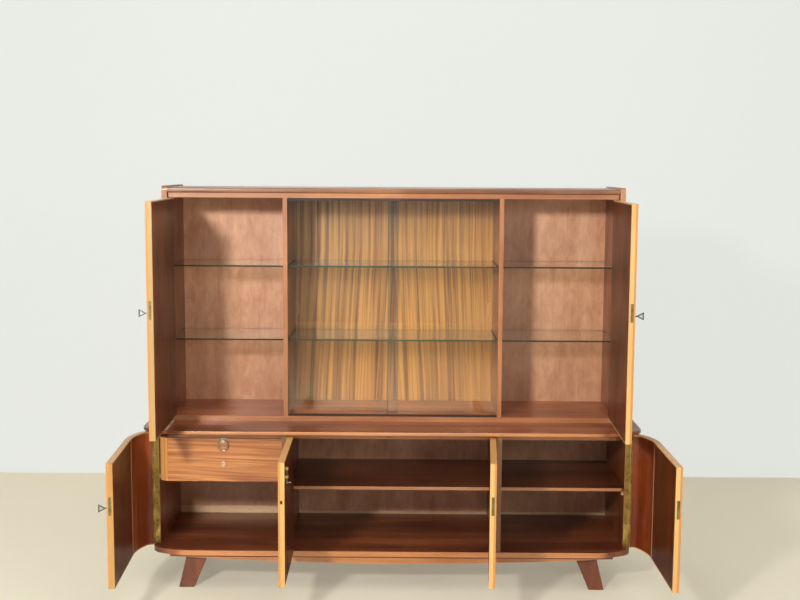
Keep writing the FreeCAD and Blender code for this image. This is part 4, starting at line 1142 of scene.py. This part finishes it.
class HIGHBOARD_OT_shelf_rests(HighboardOperator, bpy.types.Operator):
    """Puts a wooden block over each pin under the lower shelves"""

    bl_idname = "highboard.shelf_rests"
    bl_label = "Shelf rests"

    def build(self, scene):
        finish = scene.highboard_finish
        sizes = scene.highboard_fittings
        plain_wood("shelf rest wood", "Y", (finish.back_pale, finish.jamb_pale), rough=0.45)
        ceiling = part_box("lower_top")[0].z
        mesh = bmesh.new()
        for low, high in islands("shelf_pins"):
            if high.z < ceiling:
                middle = (low.y + high.y) / 2
                first = (low.x, middle - sizes.rest_depth, high.z - sizes.rest_height)
                add_bar(mesh, first, (high.x, middle + sizes.rest_depth, high.z), bevel=0.001)
        piece("shelf_rests", mesh, "shelf rest wood", "case")


# Width, height and rounding of a strip on a glass shelf, and its distance from the shelf's edges.
ENDS_WIDTH = 0.0045
ENDS_HEIGHT = 0.0025
ENDS_ROUND = 0.0007
ENDS_INSET = 0.004


class HIGHBOARD_OT_shelf_strips(HighboardOperator, bpy.types.Operator):
    """Lays a dark strip along both ends of each glass shelf in the middle bay"""

    bl_idname = "highboard.shelf_strips"
    bl_label = "Shelf strips"

    def build(self, scene):
        finish = scene.highboard_finish
        plain_wood("shelf strip wood", "Y", (finish.track_dark, finish.track_pale), rough=0.6)
        dividers = islands("hutch_dividers")
        walls = [high.x for low, high in dividers if high.x < 0]
        walls += [low.x for low, high in dividers if low.x > 0]
        mesh = bmesh.new()
        for low, high in islands("glass_shelves"):
            if low.x > 0 or high.x < 0:
                continue
            for wall in walls:
                left, right = sorted((wall, wall - math.copysign(ENDS_WIDTH, wall)))
                first = (left, low.y + ENDS_INSET, high.z)
                last = (right, high.y - ENDS_INSET, high.z + ENDS_HEIGHT)
                add_bar(mesh, first, last, ENDS_ROUND)
        piece("shelf_strips", mesh, "shelf strip wood", "case")


# Dovetails on each side of the drawer, their run, their share of the height and of the wide end.
TAILS = 3
TAIL_RUN = 0.012
TAIL_SHARE = 0.24
TAIL_NARROW = 0.62
TAIL_THICK = 0.00015


class HIGHBOARD_OT_drawer_joints(HighboardOperator, bpy.types.Operator):
    """Shows the dovetails where the drawer's sides meet its front"""

    bl_idname = "highboard.drawer_joints"
    bl_label = "Drawer joints"

    def build(self, scene):
        finish = scene.highboard_finish
        plain_wood("dovetail wood", "X", (finish.inside_dark, finish.edge_dark), rough=0.5)
        low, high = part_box("drawer_box")
        mesh = bmesh.new()
        rise = (high.z - low.z) / TAILS
        for side, level in ((-1, low.x), (1, high.x)):
            for step in range(TAILS):
                middle = low.z + rise * (step + 0.5)
                self.tail(mesh, side, level, low.y, middle, rise * TAIL_SHARE)
        piece("drawer_dovetails", mesh, "dovetail wood", "drawer")

    def tail(self, mesh, side, level, front, middle, half):
        """A wedge that widens towards the front, set flush in a drawer side."""
        back, slim = front + TAIL_RUN, half * TAIL_NARROW
        outline = ((front, half), (back, slim), (back, -slim), (front, -half))
        verts = [mesh.verts.new((level, y, middle + z)) for y, z in outline]
        lift(mesh, [mesh.faces.new(verts)], (side * TAIL_THICK, 0, 0))


# Radius and rise of the points along half of the rosette's section.
ROSETTE = ((0.0058, 0.0), (0.0105, 0.0), (0.0108, 0.0004), (0.0098, 0.0010), (0.0066, 0.0011))


class HIGHBOARD_OT_pull_rosette(HighboardOperator, bpy.types.Operator):
    """Sets a turned rosette behind the drawer's ring pull"""

    bl_idname = "highboard.pull_rosette"
    bl_label = "Pull rosette"

    def build(self, scene):
        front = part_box("drawer_front")[0].y
        pivot = joint_of("drawer_pull_ring_swing")["pos_m"]
        mesh = bmesh.new()
        verts = [mesh.verts.new((radius, 0, rise)) for radius, rise in ROSETTE]
        edges = [mesh.edges.new(ends) for ends in zip(verts, verts[1:])]
        bmesh.ops.spin(
            mesh, geom=verts + edges, cent=(0, 0, 0), axis=(0, 0, 1), dvec=(0, 0, 0),
            angle=math.tau, steps=32, use_merge=True, use_duplicate=False,
        )
        place = facing(Vector((pivot[0], front, pivot[2])), (0, -1, 0))
        bmesh.ops.transform(mesh, matrix=place, verts=mesh.verts)
        piece("pull_rosette", mesh, "nickel", "drawer")


# Lamp, its power's property, its width, its place and what it is aimed at.
LAMPS = (
    ("key_lamp", "key_power", 0.4, (-1.45, -3.65, 2.25), (0, 0.2, 0.8)),
    ("fill_lamp", "fill_power", 1.6, (2.2, -3.9, 1.9), (0, 0.2, 0.7)),
    ("top_lamp", "top_power", 3.0, (0.0, -1.6, 3.9), (0, 0.2, 0.4)),
)
ROOM_HALF = 7
WALL_HEIGHT = 5


class HIGHBOARD_OT_stage(HighboardOperator, bpy.types.Operator):
    """Sets up the floor, wall, lamps and camera"""

    bl_idname = "highboard.stage"
    bl_label = "Stage"

    def build(self, scene):
        stage = scene.highboard_stage
        far = stage.wall_distance
        level = [(x, y, 0) for y in (-ROOM_HALF, ROOM_HALF) for x in (-ROOM_HALF, ROOM_HALF)]
        upright = [(x, far, z) for z in (0, WALL_HEIGHT) for x in (-ROOM_HALF, ROOM_HALF)]
        self.sheet(scene, "studio_floor", level, stage.floor, share=0.3)
        self.sheet(scene, "studio_wall", upright, stage.wall, share=0.8)
        for name, power, size, place, target in LAMPS:
            self.lamp(scene, name, getattr(stage, power), size, place, target)
        self.sky(scene, stage)
        self.camera(scene, stage)
        scene.view_settings.view_transform = "Standard"

    def sheet(self, scene, name, corners, rgb, share):
        """A backdrop that shows its own colour by a share and is clear from behind."""
        mesh = bmesh.new()
        bmesh.ops.create_grid(mesh, x_segments=1, y_segments=1, size=0.5)
        for vert, corner in zip(mesh.verts, corners):
            vert.co = corner
        bmesh.ops.subdivide_edges(mesh, edges=mesh.edges, cuts=3, use_grid_fill=True)
        data = bpy.data.meshes.new(name)
        mesh.to_mesh(data)
        mesh.free()
        made = bpy.data.objects.new(name, data)
        scene.collection.objects.link(made)
        surface = Surface(name)
        surface.set(Base_Color=solid(rgb), Roughness=0.55)
        glow = surface.value("Emission", {"Color": solid(rgb), "Strength": 1.0})
        direct = surface.value("LightPath", output="Is Camera Ray")
        through = surface.value("LightPath", output="Is Transmission Ray")
        shown = surface.mixed((direct | through) * share, surface.body, glow)
        behind = surface.value("NewGeometry", output="Backfacing")
        surface.show(surface.mixed(behind, shown, surface.value("BsdfTransparent")))
        data.materials.append(surface.material)

    def lamp(self, scene, name, power, size, place, target):
        data = bpy.data.lights.new(name, "AREA")
        data.energy = power
        data.shape = "DISK"
        data.size = size
        made = bpy.data.objects.new(name, data)
        made.location = place
        aim = Vector(target) - Vector(place)
        made.rotation_euler = aim.to_track_quat("-Z", "Y").to_euler()
        scene.collection.objects.link(made)

    def sky(self, scene, stage):
        """Even light, which the camera sees as the wall's colour."""
        world = bpy.data.worlds.new("studio")
        world.use_nodes = True
        graph = Graph(world.node_tree)
        graph.tree.nodes.clear()
        lit = {"Color": (1.0, 0.98, 0.95, 1), "Strength": stage.sky}
        light = graph.value("Background", lit)
        shown = graph.value("Background", {"Color": solid(stage.wall), "Strength": 1.0})
        seen = graph.value("LightPath", output="Is Camera Ray")
        graph.node("OutputWorld", {"Surface": graph.mixed(seen, light, shown)})
        scene.world = world

    def camera(self, scene, stage):
        forward = Vector((
            math.sin(stage.yaw) * math.cos(stage.pitch),
            math.cos(stage.yaw) * math.cos(stage.pitch),
            -math.sin(stage.pitch),
        ))
        level = Vector((math.cos(stage.yaw), -math.sin(stage.yaw), 0))
        below = forward.cross(level)
        right = math.cos(stage.roll) * level + math.sin(stage.roll) * below
        down = math.cos(stage.roll) * below - math.sin(stage.roll) * level
        turn = Matrix((right, -down, -forward)).transposed().to_4x4()
        data = bpy.data.cameras.new("photo_camera")
        data.sensor_fit = "HORIZONTAL"
        data.sensor_width = 36
        data.lens = stage.lens
        made = bpy.data.objects.new("photo_camera", data)
        place = Vector((stage.camera_side, -stage.camera_distance, stage.camera_height))
        made.matrix_world = Matrix.Translation(place) @ turn
        scene.collection.objects.link(made)
        scene.camera = made


OPERATORS = (
    HIGHBOARD_OT_case_wood,
    HIGHBOARD_OT_door_wood,
    HIGHBOARD_OT_drawer_wood,
    HIGHBOARD_OT_glass,
    HIGHBOARD_OT_metal,
    HIGHBOARD_OT_hinge_screws,
    HIGHBOARD_OT_seam_strips,
    HIGHBOARD_OT_lock_details,
    HIGHBOARD_OT_key_ribs,
    HIGHBOARD_OT_bolt_screws,
    HIGHBOARD_OT_back_details,
    HIGHBOARD_OT_shelf_rests,
    HIGHBOARD_OT_shelf_strips,
    HIGHBOARD_OT_drawer_joints,
    HIGHBOARD_OT_pull_rosette,
    HIGHBOARD_OT_stage,
)


class VIEW3D_PT_highboard(bpy.types.Panel):
    """Lists the steps that dress the highboard"""

    bl_label = "Highboard"
    bl_idname = "VIEW3D_PT_highboard"
    bl_space_type = "VIEW_3D"
    bl_region_type = "UI"
    bl_category = "Highboard"

    def draw(self, context):
        for operator in OPERATORS:
            self.layout.operator(operator.bl_idname)
        for settings_name in SETTINGS:
            settings = getattr(context.scene, settings_name)
            column = self.layout.column()
            for name in settings.__annotations__:
                column.prop(settings, name)


SETTINGS = {
    "highboard_finish": HighboardFinish,
    "highboard_fittings": HighboardFittings,
    "highboard_stage": HighboardStage,
}
CLASSES = (*SETTINGS.values(), *OPERATORS, VIEW3D_PT_highboard)


def register():
    for cls in CLASSES:
        bpy.utils.register_class(cls)
    for name, cls in SETTINGS.items():
        setattr(bpy.types.Scene, name, PointerProperty(type=cls))


def unregister():
    for name in SETTINGS:
        delattr(bpy.types.Scene, name)
    for cls in reversed(CLASSES):
        bpy.utils.unregister_class(cls)


def main():
    register()
    bpy.ops.highboard.case_wood()
    bpy.ops.highboard.door_wood()
    bpy.ops.highboard.drawer_wood()
    bpy.ops.highboard.glass()
    bpy.ops.highboard.metal()
    bpy.ops.highboard.hinge_screws()
    bpy.ops.highboard.seam_strips()
    bpy.ops.highboard.lock_details()
    bpy.ops.highboard.key_ribs()
    bpy.ops.highboard.bolt_screws()
    bpy.ops.highboard.back_details()
    bpy.ops.highboard.shelf_rests()
    bpy.ops.highboard.shelf_strips()
    bpy.ops.highboard.drawer_joints()
    bpy.ops.highboard.pull_rosette()
    bpy.ops.highboard.stage()


if __name__ == "__main__":
    main()
